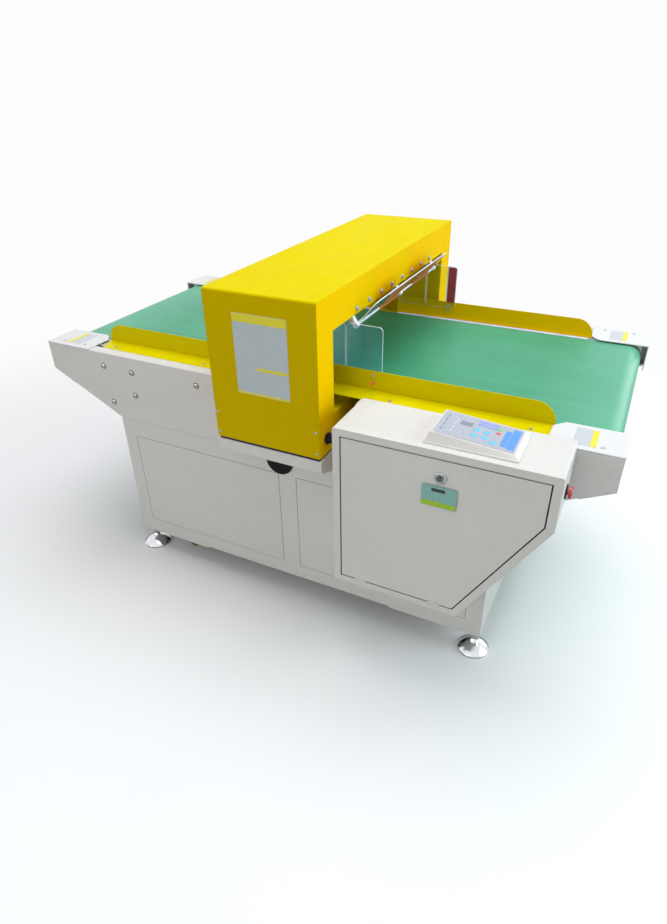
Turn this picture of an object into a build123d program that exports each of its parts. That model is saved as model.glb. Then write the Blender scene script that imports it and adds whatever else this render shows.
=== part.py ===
from build123d import *
import os

# Conveyor metal detector: base frame, belt conveyor, detection head, control box.
# Millimetres. X runs along the belt, Z is up, the operator stands on the -Y side.

os.makedirs("parts", exist_ok=True)

# Small clearances
running_fit = 0.05
free_gap = 0.3
panel_gap = 1.5

# Overall layout, measured from the belt's centre line
frame_half_length = 574
frame_half_width = 393
frame_bottom = 73
frame_top = 494
frame_skin = 2
ledge_skin = 2
ledge_width = 12
flange_thickness = 4
bottom_flange_width = 60
top_flange_width = 100
relief_half_length = 312
relief_height = 5

# Inset panels in the base
corner_post = 44
middle_post = 54
panel_bottom = 123
panel_top = 435
panel_thickness = 2
panel_corner = 4

# Cable grommet in the front top rail
grommet_x = -20
grommet_radius = 40
grommet_z = 477
grommet_proud = 6
grommet_slot = 26

# Levelling feet
foot_inset_x = 18
foot_inset_y = 28
foot_radius = 43
foot_edge = 6
foot_dome = 26
foot_neck_radius = 12
stem_radius = 8
stem_top = 165
foot_plate = 110
foot_plate_thickness = 8
nut_radius = 14
nut_height = 10

# Earth lead under the bottom rail
lead_inset_x = 178
lead_inset_y = 38
lead_x = -(frame_half_length - lead_inset_x)
lead_y = -(frame_half_width - lead_inset_y)
lead_radius = 3.5
lead_half_span = 20
lead_drop = 26

# Conveyor
belt_half_width = 290
belt_thickness = 3
belt_top = 691
arm_overhang = 238
arm_end = frame_half_length + arm_overhang
end_roller_inset = 52
end_roller_x = arm_end - end_roller_inset
end_roller_radius = 36
snub_overhang = 18
snub_roller_x = frame_half_length + snub_overhang
snub_roller_radius = 22
return_bottom = 508
roller_half_length = 292
roller_wall = 4
roller_end_disc = 8
end_shaft_radius = 10
snub_shaft_radius = 8
bed_half_width = 299
bed_thickness = 3
bed_outer_x = end_roller_x - end_roller_inset
bed_side_depth = 28
tunnel_bed_half_length = 213
tunnel_bed_thickness = 5
tunnel_bed_rib = 8
tunnel_bed_foot_x = 140

# Side plates that carry the rollers
plate_inner = 299
plate_thickness = 4
plate_end_inset = 16
plate_end_x = arm_end - plate_end_inset
plate_flange = 3
plate_flange_outer = 352
plate_foot_outer = 335
shaft_slot_margin = 3

# Side covers, end caps and their bolts
arm_gap_x = 206
arm_end_bottom = 614
cover_outer = 395
cover_rim_inner = 363
cover_top = 695
cover_wall = 2
cover_bend = 2.5
cap_length = 160
cap_inner = 283
cap_thickness = 3
cap_overhang = 2
cap_corner = 26
end_face_chamfer = 22
end_lip_length = 72
end_lip_drop = 4
take_up_slot_width = 12
take_up_slot_height = 30
cover_bolt_washer = 9
cover_bolt_washer_height = 1.2
cover_bolt_head = 7
cover_bolt_head_height = 4.5
cover_bolt_dome = 3.5
cover_bolt_socket = 3
cover_bolt_socket_depth = 2.5
cap_screw_radius = 4.5
cap_screw_height = 1.5
cap_screw_y = 372

# Guides along the belt
guide_inner = 301
guide_sheet = 2
guide_top = 746
guide_flange_outer = 362
guide_start = 40
guide_end = arm_end - cap_length
guide_shift = 4
guide_round = 48
guide_screw_x_near = 276
guide_screw_inset_a = 44
guide_screw_inset_b = 60
flange_cut_a = 1
flange_cut_b = 22
guide_screw_y = 346

# Detection head
head_half_length = 150
opening_half_width = 398
leg_width = 79
head_half_width = opening_half_width + leg_width
tunnel_height = 181
beam_height = 87
opening_top = belt_top + tunnel_height
head_top = opening_top + beam_height
head_seam = 662
head_base = 569
head_wall = 3
head_bend = 7
coil_half_length = 110
coil_gap_below = 18
coil_gap_above = 19
upper_coil_bottom = opening_top + coil_gap_below
upper_coil_top = head_top - coil_gap_above
lower_coil_bottom = 590
lower_coil_top = 648
coil_half_width = opening_half_width - coil_gap_below
head_bolt_count = 8
head_bolt_pitch = 76
head_bolt_rise = 14
head_bolt_z = opening_top + head_bolt_rise
head_bolt_radius = 5
head_bolt_height = 4.5
face_screw_x = 141
face_screw_high = 642
face_screw_low = 584
face_screw_radius = 3.5
face_screw_height = 2
gland_inset = 37
gland_y = -(head_half_width - gland_inset)
gland_z = 612
gland_radius = 15
gland_length = 15
gland_bore = 5

# Pad and tray under the head
pad_inset = 4
tray_top = 562
tray_lip_bottom = 530
tray_half_length = 153
tray_sheet = 3
tray_cheek_inner = 320

# Flap, shields and sensors at the tunnel mouth
rod_x = 158
rod_drop = 21
rod_z = opening_top - rod_drop
rod_radius = 3
rod_half_length = 294
clip_half_width = 7
clip_y = 286
clip_radius = 7
clip_foot_x = 126
clip_plate = 5
flap_run = 47
flap_rise = 57
flap_half_width = 276
flap_sheet = 2.5
flap_eye_radius = 5.5
flap_corner = 24
flap_notch_depth = 16
shield_sheet = 3
shield_back = guide_inner - free_gap
shield_lap = 19
shield_drop = 14
shield_bottom = guide_top - shield_lap
shield_top = opening_top - shield_drop
shield_corner = 11
outer_shield_start = 138
outer_shield_end = 234
inner_shield_start = 46
inner_shield_end = 134
eye_x = 213
eye_screw_z = 735
eye_lens_z = 716
eye_screw_radius = 4.5
eye_lens_radius = 4
eye_screw_proud = 2.5
eye_barrel_length = 7
sensor_box_x = 178
sensor_box_inset = 60
sensor_box_y = frame_half_width - sensor_box_inset
sensor_box_length = 52
sensor_box_width = 46
sensor_box_height = 20
sensor_lid_height = 4
sensor_box_corner = 5
sensor_gland_radius = 4.5
sensor_gland_length = 7
sensor_lead_radius = 2
duct_width = 28
duct_depth = 24
duct_top = 688
duct_wall = 1.6
duct_slot_count = 14
duct_slot_height = 6

# Drive inside the conveyor
motor_inset = 23
motor_x = -(frame_half_length - motor_inset)
motor_z = 604
gearbox_side = 74
gearbox_width = 52
motor_radius = 36
motor_length = 170
motor_fin_count = 7
motor_fin = 3
motor_shaft_radius = 7
chain_plane = 341
sprocket_width = 5
motor_sprocket_radius = 24
roller_sprocket_radius = 30
sprocket_tooth = 3.5
motor_sprocket_teeth = 16
roller_sprocket_teeth = 20
chain_width = 9
chain_height = 6
hub_radius = 14
hub_width = 12
block_side = 58
block_width = 22

# Control box on the operator's side
box_left = 224
box_end_gap = 96
box_right = arm_end - box_end_gap
box_back = cover_outer
box_front = 558
box_top = 716
box_bottom = 284
box_cut_x = 540
box_cut_z = 589
box_wall = 2
box_rim = 18
door_gap = 3
door_sheet = 2
door_fold = 14
knuckle_radius = 3
pin_radius = 1.4
knuckle_length = 16
pin_post = 6
hinge_inset = 55
lock_x = 476
lock_z = 654
lock_face_radius = 14
lock_body_radius = 11
lock_plug_radius = 8
lock_proud = 5
lock_plug_recess = 1
lock_body_depth = 14
cam_length = 44
cam_width = 16
cam_thickness = 3
keyway_width = 1.6
keyway_height = 8
stop_y = -475
stop_z = 638
stop_collar_radius = 16
stop_collar_height = 3
stop_head_radius = 13
stop_head_height = 7
stop_travel = 3.5
stop_stem_radius = 6
stop_stem_length = 26
stop_body = 30
stop_body_depth = 34

# Console wedge on top of the box
console_inset = 91
console_length = 200
console_right = box_right - console_inset
console_left = console_right - console_length
console_front = 538
console_back = 406
console_slope_inset = 8
console_high = 22
console_low = 6
console_plinth = 3
console_plinth_margin = 3
keypad_sheet = 0.8
keypad_margin = 7

# Electronics inside the control box
board_plate_margin = 26
board_plate_thickness = 3
board_standoff = 8
supply_length = 110
supply_height = 160
supply_depth = 42
board_length = 170
board_height = 120
board_depth = 14

# The belt's centre line is moved so that the whole machine is centred on the origin
front_reach = box_front + lock_proud
rear_reach = head_half_width + face_screw_height
belt_y = (front_reach - rear_reach) / 2


def level(height):
    """Horizontal sketch plane, local origin on the belt's centre line."""
    return Plane(origin=(0, belt_y, height), x_dir=(1, 0, 0), z_dir=(0, 0, 1))


def facing_front(y):
    """Upright plane along the belt: local x is X, local y is Z, extrudes to -Y."""
    return Plane(origin=(0, belt_y + y, 0), x_dir=(1, 0, 0), z_dir=(0, -1, 0))


def facing_end(x):
    """Upright plane across the belt: local x is Y, local y is Z, extrudes to +X."""
    return Plane(origin=(x, belt_y, 0), x_dir=(0, 1, 0), z_dir=(1, 0, 0))


def save(piece, name):
    piece.part.label = name
    export_step(piece.part, "parts/" + name + ".step")


ends = {"a": 1, "b": -1}
sides = {"front": -1, "rear": 1}
foot_x = frame_half_length - foot_inset_x
foot_y = frame_half_width - foot_inset_y
foot_spots = [(e * foot_x, s * foot_y) for e in (1, -1) for s in (1, -1)]

# Panel openings: centre and length of each one
long_panel_start = middle_post / 2
long_panel_end = frame_half_length - corner_post
long_panel_length = long_panel_end - long_panel_start
long_panel_x = (long_panel_start + long_panel_end) / 2
end_panel_length = 2 * (frame_half_width - corner_post)
panel_height = panel_top - panel_bottom
panel_z = (panel_top + panel_bottom) / 2
wall_total = frame_skin + ledge_skin

# Base frame: a folded sheet box with stepped windows that the panels sit in
with BuildPart() as base_frame:
    with BuildSketch(level(frame_bottom)):
        Rectangle(2 * frame_half_length, 2 * frame_half_width)
        Rectangle(
            2 * (frame_half_length - wall_total),
            2 * (frame_half_width - wall_total),
            mode=Mode.SUBTRACT,
        )
    extrude(amount=frame_top - frame_bottom)
    # Bottom and top flanges
    with BuildSketch(level(frame_bottom)):
        Rectangle(2 * frame_half_length, 2 * frame_half_width)
        Rectangle(
            2 * (frame_half_length - bottom_flange_width),
            2 * (frame_half_width - bottom_flange_width),
            mode=Mode.SUBTRACT,
        )
    extrude(amount=flange_thickness)
    with BuildSketch(level(frame_top)):
        Rectangle(2 * frame_half_length, 2 * frame_half_width)
        Rectangle(
            2 * (frame_half_length - top_flange_width),
            2 * (frame_half_width - top_flange_width),
            mode=Mode.SUBTRACT,
        )
    extrude(amount=-flange_thickness)
    # Thick plates that the levelling feet screw through
    with BuildSketch(level(frame_bottom)):
        for e in (1, -1):
            for s in (1, -1):
                with Locations(
                    (
                        e * (frame_half_length - foot_plate / 2),
                        s * (frame_half_width - foot_plate / 2),
                    )
                ):
                    Rectangle(foot_plate, foot_plate)
    extrude(amount=foot_plate_thickness)
    with BuildSketch(level(frame_bottom)):
        with Locations(*foot_spots):
            Circle(stem_radius + free_gap)
    extrude(amount=foot_plate_thickness, mode=Mode.SUBTRACT)
    # Windows in the long sides: through, then the rebate for the panel
    for s in (1, -1):
        face_y = s * frame_half_width
        with BuildSketch(facing_front(face_y)):
            with Locations((long_panel_x, panel_z), (-long_panel_x, panel_z)):
                Rectangle(
                    long_panel_length - 2 * ledge_width, panel_height - 2 * ledge_width
                )
        extrude(amount=s * wall_total, mode=Mode.SUBTRACT)
        with BuildSketch(facing_front(face_y)):
            with Locations((long_panel_x, panel_z), (-long_panel_x, panel_z)):
                RectangleRounded(long_panel_length, panel_height, panel_corner)
        extrude(amount=s * frame_skin, mode=Mode.SUBTRACT)
        # Shallow relief along the bottom edge
        with BuildSketch(facing_front(face_y)):
            with Locations((0, frame_bottom)):
                Rectangle(2 * relief_half_length, 2 * relief_height)
        extrude(amount=s * wall_total, mode=Mode.SUBTRACT)
    with BuildSketch(level(frame_bottom)):
        for s in (1, -1):
            with Locations((0, s * (frame_half_width - bottom_flange_width / 2))):
                Rectangle(2 * relief_half_length, bottom_flange_width)
    extrude(amount=relief_height + flange_thickness, mode=Mode.SUBTRACT)
    with BuildSketch(level(frame_bottom + relief_height)):
        for s in (1, -1):
            with Locations((0, s * (frame_half_width - bottom_flange_width / 2))):
                Rectangle(2 * relief_half_length, bottom_flange_width)
    extrude(amount=flange_thickness)
    # Windows in the two ends
    for e in (1, -1):
        face_x = e * frame_half_length
        with BuildSketch(facing_end(face_x)):
            with Locations((0, panel_z)):
                Rectangle(
                    end_panel_length - 2 * ledge_width, panel_height - 2 * ledge_width
                )
        extrude(amount=-e * wall_total, mode=Mode.SUBTRACT)
        with BuildSketch(facing_end(face_x)):
            with Locations((0, panel_z)):
                RectangleRounded(end_panel_length, panel_height, panel_corner)
        extrude(amount=-e * frame_skin, mode=Mode.SUBTRACT)
    # Round notch for the cable grommet, open at the top edge
    with BuildSketch(facing_front(-frame_half_width)):
        with Locations((grommet_x, grommet_z)):
            Circle(grommet_radius)
    extrude(amount=-wall_total, mode=Mode.SUBTRACT)
    with BuildSketch(level(frame_top)):
        with Locations((grommet_x, -frame_half_width + top_flange_width / 4)):
            Rectangle(2 * grommet_radius, top_flange_width / 2)
    extrude(amount=-flange_thickness, mode=Mode.SUBTRACT)
save(base_frame, "base_frame")

# Inset panels, flush with the skin and a fine gap all round
for side, s in sides.items():
    with BuildPart() as panels:
        with BuildSketch(facing_front(s * frame_half_width)):
            with Locations((long_panel_x, panel_z), (-long_panel_x, panel_z)):
                RectangleRounded(
                    long_panel_length - 2 * panel_gap,
                    panel_height - 2 * panel_gap,
                    panel_corner - panel_gap,
                )
        extrude(amount=s * panel_thickness)
    save(panels, side + "_panels")
with BuildPart() as end_panels:
    for e in (1, -1):
        with BuildSketch(facing_end(e * frame_half_length)):
            with Locations((0, panel_z)):
                RectangleRounded(
                    end_panel_length - 2 * panel_gap,
                    panel_height - 2 * panel_gap,
                    panel_corner - panel_gap,
                )
        extrude(amount=-e * panel_thickness)
save(end_panels, "end_panels")

# Rubber cable grommet with a slot for the cables
with BuildPart() as grommet:
    with BuildSketch(facing_front(-frame_half_width)):
        with Locations((grommet_x, grommet_z)):
            Circle(grommet_radius)
            Rectangle(4 * grommet_radius, 4 * grommet_radius,
                      align=(Align.CENTER, Align.MIN), mode=Mode.SUBTRACT)
        with Locations((grommet_x, (grommet_z + frame_top) / 2)):
            Rectangle(2 * grommet_radius, frame_top - grommet_z)
        with Locations((grommet_x, grommet_z)):
            Circle(grommet_radius, mode=Mode.INTERSECT)
    extrude(amount=-wall_total)
    with BuildSketch(facing_front(-frame_half_width)):
        with Locations((grommet_x, grommet_z)):
            Circle(grommet_radius)
        with Locations((grommet_x, frame_top)):
            Rectangle(2 * grommet_radius, 2 * grommet_radius,
                      align=(Align.CENTER, Align.MIN), mode=Mode.SUBTRACT)
    extrude(amount=grommet_proud)
    fillet(grommet.faces().sort_by(Axis.Y)[0].edges(), grommet_proud / 3)
    with BuildSketch(facing_front(-frame_half_width - grommet_proud)):
        with Locations((grommet_x, grommet_z)):
            SlotOverall(2 * grommet_slot, grommet_slot / 2)
    extrude(amount=-grommet_proud - wall_total, mode=Mode.SUBTRACT)
save(grommet, "cable_grommet")

# Levelling feet: a domed pad turned in one piece with its threaded stem
for end, e in ends.items():
    for side, s in sides.items():
        with BuildPart() as foot:
            with BuildSketch(
                Plane(
                    origin=(e * foot_x, belt_y + s * foot_y, 0),
                    x_dir=(1, 0, 0),
                    z_dir=(0, -1, 0),
                )
            ):
                with BuildLine():
                    rim = Line((foot_radius, 0), (foot_radius, foot_edge))
                    Line((foot_radius, 0), (0, 0))
                    dome = ThreePointArc(
                        rim @ 1,
                        ((foot_radius + foot_neck_radius) / 2, foot_dome * 0.72),
                        (foot_neck_radius, foot_dome),
                    )
                    Polyline(
                        dome @ 1,
                        (foot_neck_radius, foot_dome + foot_edge),
                        (stem_radius, foot_dome + 2 * foot_edge),
                        (stem_radius, stem_top),
                        (0, stem_top),
                        (0, 0),
                    )
                make_face()
            revolve(axis=Axis((e * foot_x, belt_y + s * foot_y, 0), (0, 0, 1)))
        save(foot, "foot_" + side + "_" + end)

with BuildPart() as lock_nuts:
    with BuildSketch(level(frame_bottom)):
        with Locations(*foot_spots):
            RegularPolygon(nut_radius, 6)
            Circle(stem_radius + free_gap, mode=Mode.SUBTRACT)
    extrude(amount=-nut_height)
save(lock_nuts, "foot_lock_nuts")

# Earth lead: a short loop of cable between two studs under the bottom rail
lead_top = frame_bottom
lead_plane = Plane(
    origin=(0, belt_y + lead_y, 0), x_dir=(1, 0, 0), z_dir=(0, -1, 0)
)
with BuildPart() as earth_lead:
    with BuildLine(lead_plane):
        FilletPolyline(
            (lead_x - lead_half_span, lead_top),
            (lead_x - lead_half_span, lead_top - lead_drop - lead_half_span),
            (lead_x + lead_half_span, lead_top - lead_drop - lead_half_span),
            (lead_x + lead_half_span, lead_top),
            radius=lead_half_span * 0.9,
        )
    with BuildSketch(level(lead_top)):
        with Locations((lead_x - lead_half_span, lead_y)):
            Circle(lead_radius)
    sweep()
    with BuildSketch(level(lead_top)):
        for e in (1, -1):
            with Locations((lead_x + e * lead_half_span, lead_y)):
                RegularPolygon(2 * lead_radius, 6)
    extrude(amount=-2 * lead_radius)
save(earth_lead, "earth_lead")

# Head tray: folded top, lips at both ends and tapered cheeks standing on the frame
with BuildPart() as head_tray:
    with BuildSketch(level(tray_top)):
        Rectangle(2 * tray_half_length, 2 * head_half_width)
    extrude(amount=-tray_sheet)
    for s in (1, -1):
        with BuildSketch(facing_front(s * head_half_width)):
            with Locations((0, (tray_top + tray_lip_bottom) / 2)):
                Rectangle(2 * tray_half_length, tray_top - tray_lip_bottom)
        extrude(amount=s * tray_sheet)
        for e in (1, -1):
            with BuildSketch(facing_end(e * tray_half_length)):
                Polygon(
                    (s * head_half_width, tray_top),
                    (s * head_half_width, tray_lip_bottom),
                    (s * frame_half_width, frame_top),
                    (s * tray_cheek_inner, frame_top),
                    (s * tray_cheek_inner, tray_top),
                    align=None,
                )
            extrude(amount=-e * tray_sheet)
save(head_tray, "head_tray")

with BuildPart() as tray_pad:
    with BuildSketch(level(tray_top)):
        Rectangle(
            2 * (head_half_length - pad_inset), 2 * (head_half_width - pad_inset)
        )
    extrude(amount=head_base - tray_top)
save(tray_pad, "tray_pad")

# Lower housing: closed on top, where it is the floor of the tunnel
with BuildPart() as head_lower:
    with BuildSketch(level(head_base)):
        Rectangle(2 * head_half_length, 2 * head_half_width)
    extrude(amount=head_seam - head_base)
    with BuildSketch(level(head_base)):
        Rectangle(
            2 * (head_half_length - head_wall), 2 * (head_half_width - head_wall)
        )
    extrude(amount=head_seam - head_base - head_wall, mode=Mode.SUBTRACT)
    with BuildSketch(facing_end(head_half_length)):
        with Locations((gland_y, gland_z)):
            Circle(gland_radius / 2)
    extrude(amount=-head_wall, mode=Mode.SUBTRACT)
save(head_lower, "head_lower_housing")

# Upper housing: an inverted U of folded sheet, hollow, open where it meets the seam
upper_outline = [
    (-head_half_width, head_seam),
    (-head_half_width, head_top),
    (head_half_width, head_top),
    (head_half_width, head_seam),
    (opening_half_width, head_seam),
    (opening_half_width, opening_top),
    (-opening_half_width, opening_top),
    (-opening_half_width, head_seam),
]
upper_hollow = [
    (-head_half_width + head_wall, head_seam),
    (-head_half_width + head_wall, head_top - head_wall),
    (head_half_width - head_wall, head_top - head_wall),
    (head_half_width - head_wall, head_seam),
    (opening_half_width + head_wall, head_seam),
    (opening_half_width + head_wall, opening_top + head_wall),
    (-opening_half_width - head_wall, opening_top + head_wall),
    (-opening_half_width - head_wall, head_seam),
]
with BuildPart() as head_upper:
    with BuildSketch(facing_end(-head_half_length)) as upper_face:
        Polygon(*upper_outline, align=None)
        fillet(upper_face.vertices().group_by(Axis.Y)[-1], head_bend)
    extrude(amount=2 * head_half_length)
    with BuildSketch(facing_end(-head_half_length + head_wall)) as hollow_face:
        Polygon(*upper_hollow, align=None)
        fillet(hollow_face.vertices().group_by(Axis.Y)[-1], head_bend - head_wall)
    extrude(amount=2 * (head_half_length - head_wall), mode=Mode.SUBTRACT)
save(head_upper, "head_upper_housing")

# Sensor coils: one potted block above the tunnel and one below
with BuildPart() as upper_coil:
    with BuildSketch(level(upper_coil_bottom)):
        RectangleRounded(2 * coil_half_length, 2 * coil_half_width, head_bend)
    extrude(amount=upper_coil_top - upper_coil_bottom)
    with BuildSketch(level(opening_top + head_wall)):
        for e in (1, -1):
            for s in (1, -1):
                with Locations((e * coil_half_length / 2, s * coil_half_width / 2)):
                    Circle(head_bend)
    extrude(amount=upper_coil_bottom - opening_top - head_wall)
save(upper_coil, "upper_coil")
with BuildPart() as lower_coil:
    with BuildSketch(level(lower_coil_bottom)):
        RectangleRounded(2 * coil_half_length, 2 * coil_half_width, head_bend)
    extrude(amount=lower_coil_top - lower_coil_bottom)
    with BuildSketch(level(head_base)):
        for e in (1, -1):
            for s in (1, -1):
                with Locations((e * coil_half_length / 2, s * coil_half_width / 2)):
                    Circle(head_bend)
    extrude(amount=lower_coil_bottom - head_base)
save(lower_coil, "lower_coil")

# Row of bolts over the opening and the screws in both outer faces
bolt_row = [
    (head_bolt_pitch * (index - (head_bolt_count - 1) / 2), head_bolt_z)
    for index in range(head_bolt_count)
]
with BuildPart() as head_fasteners:
    with BuildSketch(facing_end(head_half_length)):
        with Locations(*bolt_row):
            Circle(head_bolt_radius)
    extrude(amount=head_bolt_height)
    fillet(head_fasteners.faces().group_by(Axis.X)[-1].edges(), head_bolt_height / 2)
    for s in (1, -1):
        with BuildSketch(facing_front(s * head_half_width)):
            for e in (1, -1):
                with Locations(
                    (e * face_screw_x, face_screw_high), (e * face_screw_x, face_screw_low)
                ):
                    Circle(face_screw_radius)
        extrude(amount=-s * face_screw_height)
save(head_fasteners, "head_fasteners")

with BuildPart() as head_gland:
    with BuildSketch(facing_end(head_half_length)):
        with Locations((gland_y, gland_z)):
            RegularPolygon(gland_radius, 6)
    extrude(amount=gland_length / 2)
    with BuildSketch(facing_end(head_half_length + gland_length / 2)):
        with Locations((gland_y, gland_z)):
            Circle(gland_radius * 0.75)
    extrude(amount=gland_length / 2)
    fillet(head_gland.faces().sort_by(Axis.X)[-1].edges(), gland_length / 6)
    with BuildSketch(facing_end(head_half_length)):
        with Locations((gland_y, gland_z)):
            Circle(gland_bore)
    extrude(amount=gland_length, mode=Mode.SUBTRACT)
save(head_gland, "head_gland")

# Levels that follow from the belt
belt_inner = belt_top - belt_thickness
bed_top = belt_inner - free_gap
end_roller_z = belt_inner - end_roller_radius
snub_roller_z = return_bottom + belt_thickness + snub_roller_radius
plate_outer = plate_inner + plate_thickness
plate_top = cover_top - guide_sheet
arm_slope = (arm_end_bottom - frame_top) / (arm_end - frame_half_length)
plate_end_bottom = frame_top + arm_slope * (plate_end_x - frame_half_length)
belt_wheels = [
    (end_roller_x, end_roller_z, end_roller_radius),
    (-end_roller_x, end_roller_z, end_roller_radius),
    (snub_roller_x, snub_roller_z, snub_roller_radius),
    (-snub_roller_x, snub_roller_z, snub_roller_radius),
]

# Endless belt round the two end rollers and the two snub rollers
with BuildPart() as belt:
    with BuildSketch(facing_front(belt_half_width)):
        for x, z, radius in belt_wheels:
            with Locations((x, z)):
                Circle(radius + belt_thickness)
        make_hull()
    extrude(amount=2 * belt_half_width)
    with BuildSketch(facing_front(belt_half_width)):
        for x, z, radius in belt_wheels:
            with Locations((x, z)):
                Circle(radius)
        make_hull()
    extrude(amount=2 * belt_half_width, mode=Mode.SUBTRACT)
save(belt, "belt")


def make_roller(x, z, radius, shaft_radius, front_reach_y, rear_reach_y):
    """Tube with two end discs on a through shaft."""
    with BuildPart() as roller:
        with BuildSketch(facing_front(roller_half_length)):
            with Locations((x, z)):
                Circle(radius)
        extrude(amount=2 * roller_half_length)
        with BuildSketch(facing_front(roller_half_length - roller_end_disc)):
            with Locations((x, z)):
                Circle(radius - roller_wall)
        extrude(
            amount=2 * (roller_half_length - roller_end_disc), mode=Mode.SUBTRACT
        )
        with BuildSketch(facing_front(rear_reach_y)):
            with Locations((x, z)):
                Circle(shaft_radius)
        extrude(amount=rear_reach_y + front_reach_y)
    return roller


block_outer = plate_outer + block_width
chain_outer = chain_plane + sprocket_width / 2
shaft_end = chain_outer + cap_thickness
snub_reach = plate_outer + free_gap
end_shell = end_roller_radius - free_gap
snub_shell = snub_roller_radius - free_gap
save(
    make_roller(
        -end_roller_x, end_roller_z, end_shell, end_shaft_radius, shaft_end, block_outer
    ),
    "drive_roller",
)
save(
    make_roller(
        end_roller_x, end_roller_z, end_shell, end_shaft_radius, block_outer, block_outer
    ),
    "tail_roller",
)
for end, e in ends.items():
    save(
        make_roller(
            e * snub_roller_x, snub_roller_z, snub_shell, snub_shaft_radius,
            snub_reach, snub_reach,
        ),
        "snub_roller_" + end,
    )

# Side plates: web, foot flange on the frame, top flange under the guides
with BuildPart() as side_plates:
    for e in (1, -1):
        for s in (1, -1):
            with BuildSketch(facing_front(s * plate_outer)):
                Polygon(
                    (e * arm_gap_x, frame_top),
                    (e * frame_half_length, frame_top),
                    (e * plate_end_x, plate_end_bottom),
                    (e * plate_end_x, plate_top),
                    (e * arm_gap_x, plate_top),
                    align=None,
                )
            extrude(amount=s * plate_thickness)
            with BuildSketch(level(plate_top)):
                with Locations(
                    (
                        e * (arm_gap_x + plate_end_x) / 2,
                        s * (plate_inner + plate_flange_outer) / 2,
                    )
                ):
                    Rectangle(
                        plate_end_x - arm_gap_x, plate_flange_outer - plate_inner
                    )
            extrude(amount=-plate_flange)
            with BuildSketch(level(frame_top)):
                with Locations(
                    (
                        e * (arm_gap_x + frame_half_length) / 2,
                        s * (plate_inner + plate_foot_outer) / 2,
                    )
                ):
                    Rectangle(
                        frame_half_length - arm_gap_x, plate_foot_outer - plate_inner
                    )
            extrude(amount=plate_flange)
            # Bores for the roller shafts
            with BuildSketch(facing_front(s * plate_outer)):
                with Locations((e * snub_roller_x, snub_roller_z)):
                    Circle(snub_shaft_radius + running_fit)
                with Locations((e * end_roller_x, end_roller_z)):
                    SlotOverall(
                        4 * end_shaft_radius, 2 * (end_shaft_radius + shaft_slot_margin)
                    )
            extrude(amount=s * plate_thickness, mode=Mode.SUBTRACT)
    with BuildSketch(facing_front(-plate_inner)):
        with Locations((motor_x, motor_z)):
            Circle(motor_shaft_radius + shaft_slot_margin)
    extrude(amount=plate_thickness, mode=Mode.SUBTRACT)
save(side_plates, "side_plates")

# Bearing and take-up blocks on the outside of the side plates
with BuildPart() as shaft_blocks:
    for e in (1, -1):
        for s in (1, -1):
            with BuildSketch(facing_front(s * block_outer)):
                with Locations((e * end_roller_x, end_roller_z)):
                    RectangleRounded(block_side, block_side, block_side / 8)
                    Circle(end_shaft_radius + running_fit, mode=Mode.SUBTRACT)
            extrude(amount=s * block_width)
save(shaft_blocks, "shaft_blocks")

# Slider beds under the carrying run, and the plastic one over the lower housing
bed_inner_x = tunnel_bed_half_length
with BuildPart() as slider_beds:
    for e in (1, -1):
        with BuildSketch(level(bed_top)):
            with Locations((e * (bed_inner_x + bed_outer_x) / 2, 0)):
                Rectangle(bed_outer_x - bed_inner_x, 2 * bed_half_width)
        extrude(amount=-bed_side_depth)
        with BuildSketch(level(bed_top - bed_thickness)):
            with Locations((e * (bed_inner_x + bed_outer_x) / 2, 0)):
                Rectangle(
                    bed_outer_x - bed_inner_x, 2 * (bed_half_width - bed_thickness)
                )
        extrude(amount=bed_thickness - bed_side_depth, mode=Mode.SUBTRACT)
save(slider_beds, "slider_beds")
with BuildPart() as tunnel_bed:
    with BuildSketch(level(bed_top)):
        Rectangle(2 * tunnel_bed_half_length, 2 * bed_half_width)
    extrude(amount=-tunnel_bed_thickness)
    with BuildSketch(level(head_seam)):
        for e in (1, -1):
            with Locations((e * tunnel_bed_foot_x, 0)):
                Rectangle(tunnel_bed_rib, 2 * bed_half_width)
        for share in (-1, 0, 1):
            with Locations((0, share * (bed_half_width - tunnel_bed_rib / 2))):
                Rectangle(2 * tunnel_bed_foot_x, tunnel_bed_rib)
    extrude(amount=bed_top - tunnel_bed_thickness - head_seam)
save(tunnel_bed, "tunnel_bed")

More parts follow.
